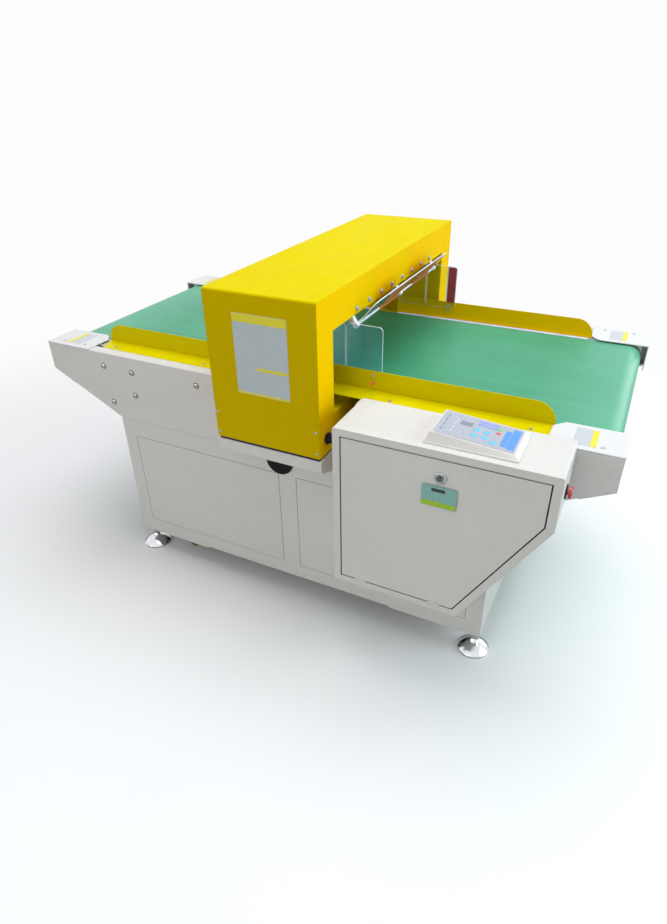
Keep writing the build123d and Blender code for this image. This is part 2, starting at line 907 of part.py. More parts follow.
# Side covers: folded sheet with a tapered underside and a closed outer end
take_up_y = (plate_outer + cover_outer) / 2
for end, e in ends.items():
    for side, s in sides.items():
        cover_outline = [
            (e * arm_gap_x, frame_top),
            (e * frame_half_length, frame_top),
            (e * arm_end, arm_end_bottom),
            (e * arm_end, cover_top),
            (e * arm_gap_x, cover_top),
        ]
        with BuildPart() as cover:
            with BuildSketch(facing_front(s * cover_outer)):
                Polygon(*cover_outline, align=None)
            extrude(amount=s * (cover_outer - cover_rim_inner))
            with BuildSketch(facing_front(s * (cover_outer - cover_wall))):
                Polygon(*cover_outline, align=None)
                offset(amount=-cover_wall, kind=Kind.INTERSECTION, mode=Mode.REPLACE)
                with Locations((e * (arm_gap_x + cover_wall), (frame_top + cover_top) / 2)):
                    Rectangle(
                        2 * cover_wall, cover_top - frame_top - 2 * cover_wall
                    )
            extrude(amount=s * (cover_outer - cover_rim_inner), mode=Mode.SUBTRACT)
            with BuildSketch(facing_end(e * arm_end)):
                Polygon(
                    (s * cover_outer, arm_end_bottom),
                    (s * (cap_inner + end_face_chamfer), arm_end_bottom),
                    (s * cap_inner, arm_end_bottom + end_face_chamfer),
                    (s * cap_inner, cover_top),
                    (s * cover_outer, cover_top),
                    align=None,
                )
            extrude(amount=-e * cover_wall)
            with BuildSketch(facing_end(e * arm_end)):
                with Locations((s * take_up_y, end_roller_z)):
                    SlotOverall(take_up_slot_height, take_up_slot_width, rotation=90)
            extrude(amount=-e * cover_wall, mode=Mode.SUBTRACT)
            # Lip under the outer end of the sloped underside
            lip_x = e * (arm_end - end_lip_length)
            lip_z = arm_end_bottom - arm_slope * end_lip_length
            with BuildSketch(facing_front(s * (cover_outer - cover_wall))):
                Polygon(
                    (e * arm_end, arm_end_bottom),
                    (e * arm_end, arm_end_bottom - end_lip_drop),
                    (lip_x, lip_z - end_lip_drop),
                    (lip_x, lip_z),
                    align=None,
                )
            extrude(amount=s * (cover_outer - cover_wall - cover_rim_inner))
            top_edges = cover.edges().filter_by(Axis.X).group_by(Axis.Z)[-1]
            fillet(top_edges.sort_by(Axis.Y)[-1 if s > 0 else 0], cover_bend)
        save(cover, "cover_" + side + "_" + end)

# End caps: lids over the roller bearings, rounded towards the guide. They stand a little proud
# of the covers, but for the front one that the control box stands against.
for end, e in ends.items():
    with BuildPart() as caps:
        for s in (1, -1):
            beside_box = (e, s) == (1, -1)
            cap_outer = cover_outer if beside_box else cover_outer + cap_overhang
            with BuildSketch(level(cover_top)):
                with BuildLine():
                    Polyline(
                        (e * (arm_end - cap_length), s * cap_outer),
                        (e * (arm_end - cap_length), s * (cap_inner + cap_corner)),
                        (e * (arm_end - cap_length + cap_corner), s * cap_inner),
                        (e * (arm_end + cap_overhang), s * cap_inner),
                        (e * (arm_end + cap_overhang), s * cap_outer),
                        close=True,
                    )
                make_face()
            extrude(amount=cap_thickness)
        fillet(caps.edges().filter_by(Axis.Z), cap_thickness)
        fillet(caps.faces().group_by(Axis.Z)[-1].edges(), cap_thickness / 3)
    save(caps, "end_caps_" + end)

# Guides: upright sheet with a rounded end and a flange bolted to the side plate.
# All four are mounted a little towards the discharge end; the infeed pair's flanges are cut
# back at the end caps.
flange_cuts = {"a": flange_cut_a, "b": flange_cut_b}
guide_ends = {end: e * guide_end + guide_shift for end, e in ends.items()}
guide_screws = {
    "a": guide_ends["a"] - guide_screw_inset_a,
    "b": guide_ends["b"] + guide_screw_inset_b,
}
for end, e in ends.items():
    for side, s in sides.items():
        with BuildPart() as guide:
            with BuildSketch(facing_front(s * guide_inner)) as guide_face:
                Polygon(
                    (e * guide_start, plate_top),
                    (guide_ends[end], plate_top),
                    (guide_ends[end], guide_top),
                    (e * guide_start, guide_top),
                    align=None,
                )
                outer_corner = guide_face.vertices().group_by(Axis.Y)[-1]
                fillet(outer_corner.sort_by(Axis.X)[-1 if e > 0 else 0], guide_round)
            extrude(amount=-s * guide_sheet)
            with BuildSketch(level(plate_top)):
                Polygon(
                    (e * guide_start, s * guide_inner),
                    (guide_ends[end], s * guide_inner),
                    (guide_ends[end] - e * flange_cuts[end], s * guide_flange_outer),
                    (e * guide_start, s * guide_flange_outer),
                    align=None,
                )
            extrude(amount=guide_sheet)
        save(guide, "guide_" + side + "_" + end)

# Visible fasteners of the conveyor: cover bolts, cap screws and guide screws.
# The cover bolts' places are shares of the arm's length and of the cover's top height.
front_bolt_shares = [
    (-0.7426, 0.9396),
    (-0.6146, 0.9338),
    (-0.6158, 0.8302),
    (-0.7278, 0.7770),
    (-0.3338, 0.9381),
]
rear_bolt_shares = [
    (0.7438, 0.9381),
    (0.7291, 0.7770),
    (0.3288, 0.9396),
    (-0.3264, 0.9410),
    (-0.7340, 0.9381),
    (-0.6601, 0.7525),
]
cap_screw_shares = (0.29, 0.79)
with BuildPart() as conveyor_fasteners:
    for s, shares in ((-1, front_bolt_shares), (1, rear_bolt_shares)):
        spots = [(along * arm_end, up * cover_top) for along, up in shares]
        with BuildSketch(facing_front(s * cover_outer)):
            with Locations(*spots):
                Circle(cover_bolt_washer)
        extrude(amount=-s * cover_bolt_washer_height)
        with BuildSketch(facing_front(s * (cover_outer + cover_bolt_washer_height))):
            with Locations(*spots):
                Circle(cover_bolt_head)
        extrude(amount=-s * cover_bolt_head_height)
        domes = conveyor_fasteners.faces().sort_by(Axis.Y)
        domes = domes[: len(spots)] if s < 0 else domes[-len(spots):]
        fillet(domes.edges(), cover_bolt_dome)
        bolt_face = cover_outer + cover_bolt_washer_height + cover_bolt_head_height
        with BuildSketch(facing_front(s * bolt_face)):
            with Locations(*spots):
                RegularPolygon(cover_bolt_socket, 6)
        extrude(amount=s * cover_bolt_socket_depth, mode=Mode.SUBTRACT)
    with BuildSketch(level(cover_top + cap_thickness)):
        for e in (1, -1):
            for s in (1, -1):
                for share in cap_screw_shares:
                    with Locations((e * (arm_end - cap_length * share), s * cap_screw_y)):
                        Circle(cap_screw_radius)
    extrude(amount=cap_screw_height)
    with BuildSketch(level(cover_top)):
        for end, e in ends.items():
            for s in (1, -1):
                for x in (e * guide_screw_x_near, guide_screws[end]):
                    with Locations((x, s * guide_screw_y)):
                        Circle(cap_screw_radius)
    extrude(amount=2 * cap_screw_height)
save(conveyor_fasteners, "conveyor_fasteners")

# Drive: gearbox and motor inside the belt loop, shaft out through the side plate
gearbox_face = plate_inner
with BuildPart() as gear_motor:
    with BuildSketch(facing_front(-gearbox_face + gearbox_width)) as gearbox_sketch:
        with Locations((motor_x, motor_z)):
            RectangleRounded(gearbox_side, gearbox_side, gearbox_side / 8)
    extrude(amount=gearbox_width)
    with BuildSketch(facing_front(-gearbox_face + gearbox_width)):
        with Locations((motor_x, motor_z)):
            Circle(motor_radius)
    extrude(amount=-motor_length)
    for index in range(motor_fin_count):
        fin_y = -gearbox_face + gearbox_width + motor_length * (index + 1) / (
            motor_fin_count + 2
        )
        with BuildSketch(facing_front(fin_y)):
            with Locations((motor_x, motor_z)):
                Circle(motor_radius)
                Circle(motor_radius - motor_fin, mode=Mode.SUBTRACT)
        extrude(amount=motor_fin, mode=Mode.SUBTRACT)
    with BuildSketch(facing_front(-gearbox_face)):
        with Locations((motor_x, motor_z)):
            Circle(motor_shaft_radius + running_fit)
    extrude(amount=-gearbox_width / 2, mode=Mode.SUBTRACT)
save(gear_motor, "gear_motor")


def make_sprocket(x, z, radius, teeth, bore):
    """Toothed disc in the chain's plane with a hub towards the side plate."""
    with BuildPart() as sprocket:
        with BuildSketch(facing_front(-chain_plane + sprocket_width / 2)):
            with Locations((x, z)):
                Circle(radius)
                with PolarLocations(radius, teeth):
                    Circle(sprocket_tooth, mode=Mode.SUBTRACT)
        extrude(amount=sprocket_width)
        with BuildSketch(facing_front(-chain_plane + hub_width)):
            with Locations((x, z)):
                Circle(hub_radius)
        extrude(amount=hub_width)
        with BuildSketch(facing_front(-chain_plane + hub_width)):
            with Locations((x, z)):
                Circle(bore)
        extrude(amount=hub_width + sprocket_width, mode=Mode.SUBTRACT)
    return sprocket


motor_wheel = make_sprocket(
    motor_x, motor_z, motor_sprocket_radius, motor_sprocket_teeth,
    motor_shaft_radius - running_fit,
)
with BuildPart() as motor_sprocket:
    with BuildSketch(facing_front(-gearbox_face + gearbox_width / 3)):
        with Locations((motor_x, motor_z)):
            Circle(motor_shaft_radius)
    extrude(amount=shaft_end - gearbox_face + gearbox_width / 3)
    add(motor_wheel.part)
save(motor_sprocket, "motor_sprocket")
roller_sprocket = make_sprocket(
    -end_roller_x, end_roller_z, roller_sprocket_radius, roller_sprocket_teeth,
    end_shaft_radius + running_fit,
)
save(roller_sprocket, "roller_sprocket")
chain_wheels = [
    (motor_x, motor_z, motor_sprocket_radius + free_gap),
    (-end_roller_x, end_roller_z, roller_sprocket_radius + free_gap),
]
with BuildPart() as drive_chain:
    with BuildSketch(facing_front(-chain_plane + chain_width / 2)):
        for x, z, radius in chain_wheels:
            with Locations((x, z)):
                Circle(radius + chain_height)
        make_hull()
    extrude(amount=chain_width)
    with BuildSketch(facing_front(-chain_plane + chain_width / 2)):
        for x, z, radius in chain_wheels:
            with Locations((x, z)):
                Circle(radius)
        make_hull()
    extrude(amount=chain_width, mode=Mode.SUBTRACT)
save(drive_chain, "drive_chain")

# Hinge rod of the flap, held by three nylon clips under the tunnel's ceiling
with BuildPart() as flap_rod:
    with BuildSketch(facing_front(rod_half_length)):
        with Locations((rod_x, rod_z)):
            Circle(rod_radius)
    extrude(amount=2 * rod_half_length)
    for share in (-1, 0, 1):
        with BuildSketch(facing_front(share * clip_y + clip_half_width)):
            with Locations((rod_x, rod_z)):
                Circle(clip_radius)
            Polygon(
                (clip_foot_x, opening_top),
                (clip_foot_x, opening_top - clip_plate),
                (rod_x - clip_radius, rod_z),
                (rod_x, rod_z + clip_radius),
                (head_half_length, opening_top),
                align=None,
            )
        extrude(amount=2 * clip_half_width)
save(flap_rod, "flap_rod")

# Clear flap: eyes round the rod and a sheet that leans up and out from it
eye_start = clip_half_width + free_gap
flap_length = Vector(flap_run, 0, flap_rise).length
with BuildPart() as tunnel_flap:
    for s in (1, -1):
        eye_plane = Plane(
            origin=(rod_x, belt_y + s * eye_start, rod_z),
            x_dir=(1, 0, 0),
            z_dir=(0, s, 0),
        )
        with BuildSketch(eye_plane):
            Circle(flap_eye_radius)
        extrude(amount=flap_half_width - eye_start)
    sheet_plane = Plane(
        origin=(rod_x, belt_y, rod_z), x_dir=(0, 1, 0), z_dir=(-flap_rise, 0, flap_run)
    )
    with BuildSketch(sheet_plane) as flap_face:
        with Locations((0, -flap_length / 2)):
            Rectangle(2 * flap_half_width, flap_length)
        fillet(flap_face.vertices().group_by(Axis.Y)[0], flap_corner)
        Rectangle(2 * eye_start, 2 * flap_notch_depth, mode=Mode.SUBTRACT)
    extrude(amount=flap_sheet / 2, both=True)
    with BuildSketch(facing_front(flap_half_width)):
        with Locations((rod_x, rod_z)):
            Circle(rod_radius + running_fit)
    extrude(amount=2 * flap_half_width, mode=Mode.SUBTRACT)
save(tunnel_flap, "tunnel_flap")

# Clear side shields, two on each side of the belt, against the guides
with BuildPart() as side_shields:
    for s in (1, -1):
        for start, stop in (
            (outer_shield_start, outer_shield_end),
            (inner_shield_start, inner_shield_end),
        ):
            with BuildSketch(facing_front(s * shield_back)):
                with Locations(((start + stop) / 2, (shield_bottom + shield_top) / 2)):
                    RectangleRounded(
                        stop - start, shield_top - shield_bottom, shield_corner
                    )
            extrude(amount=s * shield_sheet)
save(side_shields, "side_shields")
with BuildPart() as photo_eyes:
    for s in (1, -1):
        with BuildSketch(facing_front(s * (shield_back - shield_sheet))):
            with Locations((eye_x, eye_screw_z)):
                Circle(eye_screw_radius)
        extrude(amount=s * eye_screw_proud)
        with BuildSketch(facing_front(s * guide_inner)):
            with Locations((eye_x, eye_lens_z)):
                Circle(eye_lens_radius)
        extrude(amount=s * eye_screw_proud)
        with BuildSketch(facing_front(s * (guide_inner + guide_sheet))):
            with Locations((eye_x, eye_screw_z)):
                RegularPolygon(eye_screw_radius, 6)
        extrude(amount=-s * eye_screw_proud)
        with BuildSketch(facing_front(s * (guide_inner + guide_sheet))):
            with Locations((eye_x, eye_lens_z)):
                Circle(eye_lens_radius)
        extrude(amount=-s * eye_barrel_length)
save(photo_eyes, "photo_eyes")

# Sensor box with a lid on the rear guide's flange, and the slotted wiring duct
with BuildPart() as sensor_box:
    with BuildSketch(level(cover_top)):
        with Locations((sensor_box_x, sensor_box_y)):
            RectangleRounded(sensor_box_length, sensor_box_width, sensor_box_corner)
    extrude(amount=sensor_box_height)
save(sensor_box, "sensor_box")
with BuildPart() as sensor_lid:
    with BuildSketch(level(cover_top + sensor_box_height)):
        with Locations((sensor_box_x, sensor_box_y)):
            RectangleRounded(sensor_box_length, sensor_box_width, sensor_box_corner)
    extrude(amount=sensor_lid_height)
    fillet(sensor_lid.faces().sort_by(Axis.Z)[-1].edges(), sensor_lid_height / 2)
save(sensor_lid, "sensor_lid")
duct_x = arm_gap_x - duct_width / 2
duct_y = frame_half_width - duct_depth / 2

# Lead of the sensor box: a gland on the box's side, and the lead over into the duct
gland_face = sensor_box_y + sensor_box_width / 2
sensor_lead_z = cover_top + sensor_box_height / 2
with BuildPart() as sensor_lead:
    with BuildSketch(facing_front(gland_face)):
        with Locations((duct_x, sensor_lead_z)):
            Circle(sensor_gland_radius)
    extrude(amount=-sensor_gland_length)
    with BuildLine(Plane(origin=(duct_x, belt_y, 0), x_dir=(0, 1, 0), z_dir=(1, 0, 0))):
        FilletPolyline(
            (gland_face + sensor_gland_length, sensor_lead_z),
            (duct_y, sensor_lead_z),
            (duct_y, duct_top - sensor_box_width / 2),
            radius=sensor_gland_length,
        )
    with BuildSketch(facing_front(gland_face + sensor_gland_length)):
        with Locations((duct_x, sensor_lead_z)):
            Circle(sensor_lead_radius)
    sweep()
save(sensor_lead, "sensor_lead")

# Slotted wiring duct in the gap beside the head
duct_height = duct_top - frame_top
duct_pitch = duct_height / (duct_slot_count + 1)
with BuildPart() as wiring_duct:
    with BuildSketch(level(frame_top)):
        with Locations((duct_x, duct_y)):
            Rectangle(duct_width, duct_depth)
            Rectangle(
                duct_width - 2 * duct_wall, duct_depth - 2 * duct_wall,
                mode=Mode.SUBTRACT,
            )
    extrude(amount=duct_height)
    with BuildSketch(facing_front(duct_y + duct_depth / 2)):
        with Locations(
            *[
                (duct_x - duct_width / 4, frame_top + duct_pitch * (index + 1))
                for index in range(duct_slot_count)
            ]
        ):
            Rectangle(duct_width / 2, duct_slot_height)
    extrude(amount=duct_wall, mode=Mode.SUBTRACT)
save(wiring_duct, "wiring_duct")

# Control box outline in the plane of its front
box_outline = [
    (box_left, box_bottom),
    (box_cut_x, box_bottom),
    (box_right, box_cut_z),
    (box_right, box_top),
    (box_left, box_top),
]
hinge_z = box_bottom + box_rim + door_gap / 2
hinge_spots = [box_left + box_rim + hinge_inset, box_cut_x - hinge_inset]
hinge_half = knuckle_length / 2 + free_gap + pin_post


def hinge_plane(x):
    return Plane(
        origin=(x, belt_y - box_front, hinge_z), x_dir=(0, 1, 0), z_dir=(1, 0, 0)
    )


# Clearance round the two hinges, cut from the rim and from the door
with BuildPart() as hinge_recess:
    for x in hinge_spots:
        with BuildSketch(hinge_plane(x - hinge_half - free_gap)):
            Circle(knuckle_radius + free_gap)
        extrude(amount=2 * (hinge_half + free_gap))


# Control box: closed shell with a door opening; the hinge posts stand on the rim
with BuildPart() as box_shell:
    with BuildSketch(facing_front(-box_back)) as box_face:
        Polygon(*box_outline, align=None)
        fillet(box_face.vertices(), 2 * box_wall)
    extrude(amount=box_front - box_back)
    with BuildSketch(facing_front(-box_back - box_wall)):
        Polygon(*box_outline, align=None)
        offset(amount=-box_wall, kind=Kind.INTERSECTION, mode=Mode.REPLACE)
    extrude(amount=box_front - box_back - 2 * box_wall, mode=Mode.SUBTRACT)
    with BuildSketch(facing_front(-box_front + box_wall)):
        Polygon(*box_outline, align=None)
        offset(amount=-box_rim, kind=Kind.INTERSECTION, mode=Mode.REPLACE)
    extrude(amount=box_wall, mode=Mode.SUBTRACT)
    add(hinge_recess.part, mode=Mode.SUBTRACT)
    for x in hinge_spots:
        for share in (-1, 1):
            post_start = x + share * (knuckle_length / 2 + free_gap)
            with BuildSketch(hinge_plane(post_start)):
                Circle(knuckle_radius)
                with Locations((-knuckle_radius / 2, -knuckle_radius)):
                    Rectangle(knuckle_radius, 2 * knuckle_radius)
            extrude(amount=share * pin_post)
        with BuildSketch(hinge_plane(x - hinge_half)):
            Circle(pin_radius)
        extrude(amount=2 * hinge_half)
    with BuildSketch(facing_end(box_right)):
        with Locations((stop_y, stop_z)):
            Circle(stop_stem_radius + stop_collar_height)
    extrude(amount=-box_wall, mode=Mode.SUBTRACT)
save(box_shell, "box_shell")

# Door: flush pan with folded edges, knuckles at the bottom edge
with BuildPart() as box_door:
    with BuildSketch(facing_front(-box_front + door_fold)):
        Polygon(*box_outline, align=None)
        offset(
            amount=-(box_rim + door_gap), kind=Kind.INTERSECTION, mode=Mode.REPLACE
        )
    extrude(amount=door_fold)
    with BuildSketch(facing_front(-box_front + door_fold)):
        Polygon(*box_outline, align=None)
        offset(
            amount=-(box_rim + door_gap + door_sheet),
            kind=Kind.INTERSECTION,
            mode=Mode.REPLACE,
        )
    extrude(amount=door_fold - door_sheet, mode=Mode.SUBTRACT)
    add(hinge_recess.part, mode=Mode.SUBTRACT)
    for x in hinge_spots:
        with BuildSketch(hinge_plane(x - knuckle_length / 2)):
            Circle(knuckle_radius)
            with Locations((-knuckle_radius / 2, knuckle_radius)):
                Rectangle(knuckle_radius, 2 * knuckle_radius)
        extrude(amount=knuckle_length)
        with BuildSketch(hinge_plane(x - knuckle_length / 2)):
            Circle(pin_radius + running_fit)
        extrude(amount=knuckle_length, mode=Mode.SUBTRACT)
    with BuildSketch(facing_front(-box_front)):
        with Locations((lock_x, lock_z)):
            Circle(lock_body_radius + running_fit)
    extrude(amount=-door_sheet, mode=Mode.SUBTRACT)
save(box_door, "box_door")

# Cam lock: a barrel in the door, a plug with a keyway and the cam behind it
lock_back = -box_front + door_sheet + lock_body_depth
with BuildPart() as lock_barrel:
    with BuildSketch(facing_front(-box_front)):
        with Locations((lock_x, lock_z)):
            Circle(lock_face_radius)
    extrude(amount=lock_proud)
    fillet(lock_barrel.faces().sort_by(Axis.Y)[0].edges(), lock_proud / 4)
    with BuildSketch(facing_front(-box_front)):
        with Locations((lock_x, lock_z)):
            Circle(lock_body_radius)
    extrude(amount=-door_sheet - lock_body_depth)
    with BuildSketch(facing_front(lock_back)):
        with Locations((lock_x, lock_z)):
            Circle(lock_plug_radius + running_fit)
    extrude(amount=door_sheet + lock_body_depth + lock_proud, mode=Mode.SUBTRACT)
save(lock_barrel, "lock_barrel")
with BuildPart() as lock_plug:
    plug_face = -box_front - lock_proud + lock_plug_recess
    with BuildSketch(facing_front(lock_back + cam_thickness + free_gap)):
        with Locations((lock_x, lock_z)):
            Circle(lock_plug_radius)
    extrude(amount=lock_back + cam_thickness + free_gap - plug_face)
    with BuildSketch(facing_front(lock_back + cam_thickness + free_gap)):
        with Locations((lock_x + cam_length / 2, lock_z)):
            SlotOverall(cam_length + cam_width, cam_width)
    extrude(amount=cam_thickness)
    with BuildSketch(facing_front(plug_face)):
        with Locations((lock_x, lock_z)):
            Rectangle(keyway_width, keyway_height)
    extrude(amount=-lock_body_depth / 2, mode=Mode.SUBTRACT)
save(lock_plug, "lock_plug")

# Stop button: collar and switch body through the wall, and the sliding red head
with BuildPart() as stop_collar:
    with BuildSketch(facing_end(box_right)):
        with Locations((stop_y, stop_z)):
            Circle(stop_collar_radius)
    extrude(amount=stop_collar_height)
    fillet(stop_collar.faces().sort_by(Axis.X)[-1].edges(), stop_collar_height / 3)
    with BuildSketch(facing_end(box_right)):
        with Locations((stop_y, stop_z)):
            Circle(stop_stem_radius + stop_collar_height)
    extrude(amount=-box_wall)
    with BuildSketch(facing_end(box_right - box_wall)):
        with Locations((stop_y, stop_z)):
            RectangleRounded(stop_body, stop_body, stop_collar_height)
    extrude(amount=-stop_body_depth)
    with BuildSketch(facing_end(box_right + stop_collar_height)):
        with Locations((stop_y, stop_z)):
            Circle(stop_stem_radius + running_fit)
    extrude(amount=-stop_body_depth, mode=Mode.SUBTRACT)
save(stop_collar, "stop_collar")
stop_seat = box_right + stop_collar_height + stop_travel
with BuildPart() as stop_head:
    with BuildSketch(facing_end(stop_seat)):
        with Locations((stop_y, stop_z)):
            Circle(stop_head_radius)
    extrude(amount=stop_head_height)
    fillet(stop_head.faces().sort_by(Axis.X)[-1].edges(), stop_head_height / 3)
    with BuildSketch(facing_end(stop_seat)):
        with Locations((stop_y, stop_z)):
            Circle(stop_stem_radius)
    extrude(amount=-stop_stem_length)
save(stop_head, "stop_head")

# Console: a wedge with sloped sides on a thin plinth, and its film keypad
console_x = (console_left + console_right) / 2
console_y = -(console_front + console_back) / 2
console_width = console_front - console_back
wedge_length = console_length - 2 * console_plinth_margin
wedge_width = console_width - 2 * console_plinth_margin
wedge_base = box_top + console_plinth
tilt_rise = console_high - console_low
top_plane = Plane(
    origin=(console_x, belt_y + console_y, wedge_base + (console_high + console_low) / 2),
    x_dir=(wedge_length, 0, -tilt_rise),
    z_dir=(tilt_rise, 0, wedge_length),
)
with BuildPart() as console:
    with BuildSketch(level(box_top)):
        with Locations((console_x, console_y)):
            RectangleRounded(console_length, console_width, console_plinth)
    extrude(amount=console_plinth)
    with BuildSketch(level(wedge_base)):
        with Locations((console_x, console_y)):
            Rectangle(wedge_length, wedge_width)
    with BuildSketch(top_plane):
        Rectangle(
            wedge_length - 2 * console_slope_inset, wedge_width - 2 * console_slope_inset
        )
    loft()
save(console, "console")
with BuildPart() as keypad:
    with BuildSketch(top_plane):
        RectangleRounded(
            wedge_length - 2 * console_slope_inset - keypad_margin,
            wedge_width - 2 * console_slope_inset - keypad_margin,
            console_plinth,
        )
    extrude(amount=keypad_sheet)
save(keypad, "keypad")

# Electronics: mounting plate on standoffs, power supply and circuit board
plate_left = box_left + board_plate_margin
plate_right = box_cut_x - board_plate_margin
plate_low = box_bottom + board_plate_margin
plate_high = box_top - board_plate_margin
plate_y = -box_back - box_wall - board_standoff
with BuildPart() as electronics:
    with BuildSketch(facing_front(plate_y)):
        with Locations(((plate_left + plate_right) / 2, (plate_low + plate_high) / 2)):
            RectangleRounded(
                plate_right - plate_left, plate_high - plate_low, panel_corner
            )
    extrude(amount=board_plate_thickness)
    with BuildSketch(facing_front(plate_y)):
        with Locations(((plate_left + plate_right) / 2, (plate_low + plate_high) / 2)):
            with GridLocations(
                plate_right - plate_left - board_plate_margin,
                plate_high - plate_low - board_plate_margin, 2, 2,
            ):
                Circle(board_standoff / 2)
    extrude(amount=-board_standoff)
    with BuildSketch(facing_front(plate_y - board_plate_thickness)):
        with Locations(
            (plate_left + supply_length / 2 + board_standoff,
             plate_low + supply_height / 2 + board_standoff)
        ):
            Rectangle(supply_length, supply_height)
    extrude(amount=supply_depth)
    with BuildSketch(facing_front(plate_y - board_plate_thickness)):
        with Locations(
            (plate_left + board_length / 2 + board_standoff,
             plate_high - board_height / 2 - board_standoff)
        ):
            Rectangle(board_length, board_height)
    extrude(amount=board_depth)
save(electronics, "control_electronics")
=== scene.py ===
# %% [markdown]
# # A belt conveyor metal detector
# Cartons and bags ride on the green belt through the yellow head, which holds the coils. The grey
# base, the side arms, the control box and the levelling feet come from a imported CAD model.
# This lesson loads that model as a fixed frame, gives every sheet, roller and key its real finish,
# and adds what is too thin or too fine for the CAD: films, key domes, lamps and circuit parts.
# All lengths are in metres, with x along the belt, y across it and z up from the floor.

# %% Load the frame
import math
import bmesh
import bpy
from mathutils import Matrix, Vector


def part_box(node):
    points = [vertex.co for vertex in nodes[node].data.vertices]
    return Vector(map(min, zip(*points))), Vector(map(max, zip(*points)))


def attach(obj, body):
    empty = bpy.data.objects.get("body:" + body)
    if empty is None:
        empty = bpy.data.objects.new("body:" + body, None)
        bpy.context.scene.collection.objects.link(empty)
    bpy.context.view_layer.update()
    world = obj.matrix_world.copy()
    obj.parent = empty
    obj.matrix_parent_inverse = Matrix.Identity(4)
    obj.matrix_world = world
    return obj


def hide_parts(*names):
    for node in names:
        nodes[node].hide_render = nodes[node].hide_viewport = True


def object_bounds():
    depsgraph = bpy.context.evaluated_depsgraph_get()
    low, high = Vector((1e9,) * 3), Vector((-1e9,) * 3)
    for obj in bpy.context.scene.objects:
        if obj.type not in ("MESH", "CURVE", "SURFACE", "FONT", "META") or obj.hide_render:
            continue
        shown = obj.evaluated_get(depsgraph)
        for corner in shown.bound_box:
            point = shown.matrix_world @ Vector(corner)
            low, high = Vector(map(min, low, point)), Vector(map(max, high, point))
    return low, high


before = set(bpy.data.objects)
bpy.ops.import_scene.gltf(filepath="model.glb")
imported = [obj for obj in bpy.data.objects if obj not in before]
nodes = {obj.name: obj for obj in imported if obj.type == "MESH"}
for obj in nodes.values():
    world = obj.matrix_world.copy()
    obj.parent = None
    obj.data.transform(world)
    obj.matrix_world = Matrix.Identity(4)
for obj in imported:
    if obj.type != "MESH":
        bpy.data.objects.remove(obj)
cad_low, cad_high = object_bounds()
print("nodes:", len(nodes), "box:", [round(v, 3) for v in (*cad_low, *cad_high)])

# %% [markdown]
# The photograph looks down on the operator's side from the front right. A camera could be aimed
# at a point by hand, but it is easier to repeat from three angles and a place: turn the "back"
# vector by azimuth and elevation, build the right and up vectors from it, then roll both. The
# lens is worked out from a focal length in pixels, because that is what a picture gives. Blender
# measures a lens along the longer side of the picture, which is its height here.

# %% Camera at the photograph's viewing angle
picture_height = 924
camera_azimuth = math.radians(26.84)
camera_elevation = math.radians(31.46)
camera_roll = math.radians(-0.966)
camera_place = Vector((0.7804, -1.6098, 1.3783))
photo_focal_pixels = 412.1
enlargement = 1.55
back = Vector((
    math.sin(camera_azimuth) * math.cos(camera_elevation),
    -math.cos(camera_azimuth) * math.cos(camera_elevation),
    math.sin(camera_elevation),
))
level_right = (-back).cross(Vector((0, 0, 1))).normalized()
level_up = back.cross(level_right)
right = math.cos(camera_roll) * level_right + math.sin(camera_roll) * level_up
up = math.cos(camera_roll) * level_up - math.sin(camera_roll) * level_right
camera_data = bpy.data.cameras.new("photo_camera")
camera_data.lens = photo_focal_pixels * enlargement * camera_data.sensor_width / picture_height
camera_data.clip_start = 0.05
camera_data.clip_end = 60
camera_data.dof.use_dof = False
camera = bpy.data.objects.new("photo_camera", camera_data)
turn = Matrix((right, up, back)).transposed()
camera.matrix_world = Matrix.Translation(camera_place) @ turn.to_4x4()
bpy.context.scene.collection.objects.link(camera)
bpy.context.scene.camera = camera
bpy.context.scene.view_settings.view_transform = "Standard"
print("lens", round(camera_data.lens, 2), "mm")

# %% [markdown]
# The machine stands in a bright hall: its tops are the palest and the operator's side is in
# gentle shade. A sun lamp would draw hard shadows, so four large area lamps stand above, beside,
# in front and behind instead. The one behind stands low, because it is the one that the belt
# mirrors where it turns over the roller.

# %% Lamps
def soft_box(name, place, aim, size, power, colour):
    """An area lamp of that size in metres, turned from its place towards the aim."""
    lamp_data = bpy.data.lights.new(name, "AREA")
    lamp_data.shape = "RECTANGLE"
    lamp_data.size, lamp_data.size_y = size
    lamp_data.energy = power
    lamp_data.color = colour
    lamp = bpy.data.objects.new(name, lamp_data)
    lamp.location = place
    lamp.rotation_mode = "QUATERNION"
    lamp.rotation_quaternion = (Vector(aim) - Vector(place)).to_track_quat("-Z", "Y")
    bpy.context.scene.collection.objects.link(lamp)


machine_middle = (cad_low + cad_high) / 2
for lamp_name, place, size, power, colour in (
        ("hall_ceiling", (0.2, 0.4, 4.2), (3.8, 3.4), 118, (0.99, 0.99, 1.02)),
        ("window_side", (3.9, 0.3, 1.9), (2.2, 2.4), 80, (0.80, 1.0, 1.02)),
        ("operator_fill", (-1.0, -4.2, 1.9), (3.4, 2.2), 41, (1.0, 0.98, 0.94)),
        ("rear_window", (2.1, 3.3, 1.1), (1.8, 1.4), 15, (0.97, 0.99, 1.0))):
    soft_box(lamp_name, place, machine_middle, size, power, colour)
print("lamps:", len(bpy.data.lights))

# %% [markdown]
# The hall's walls send back a soft, even light. A picture of a hall could be wrapped round the
# scene, but a plain sky is enough here. It is an even grey for the light that falls on the machine
# and plain white where the camera, a mirror image or a look through clear sheet meets it, so the
# background turns pale without more light on the machine. A Light Path node tells these apart.
# The small helper makes a node and fills its sockets in one go, with values or with links.

# %% Sky
backdrop_white = 0.98


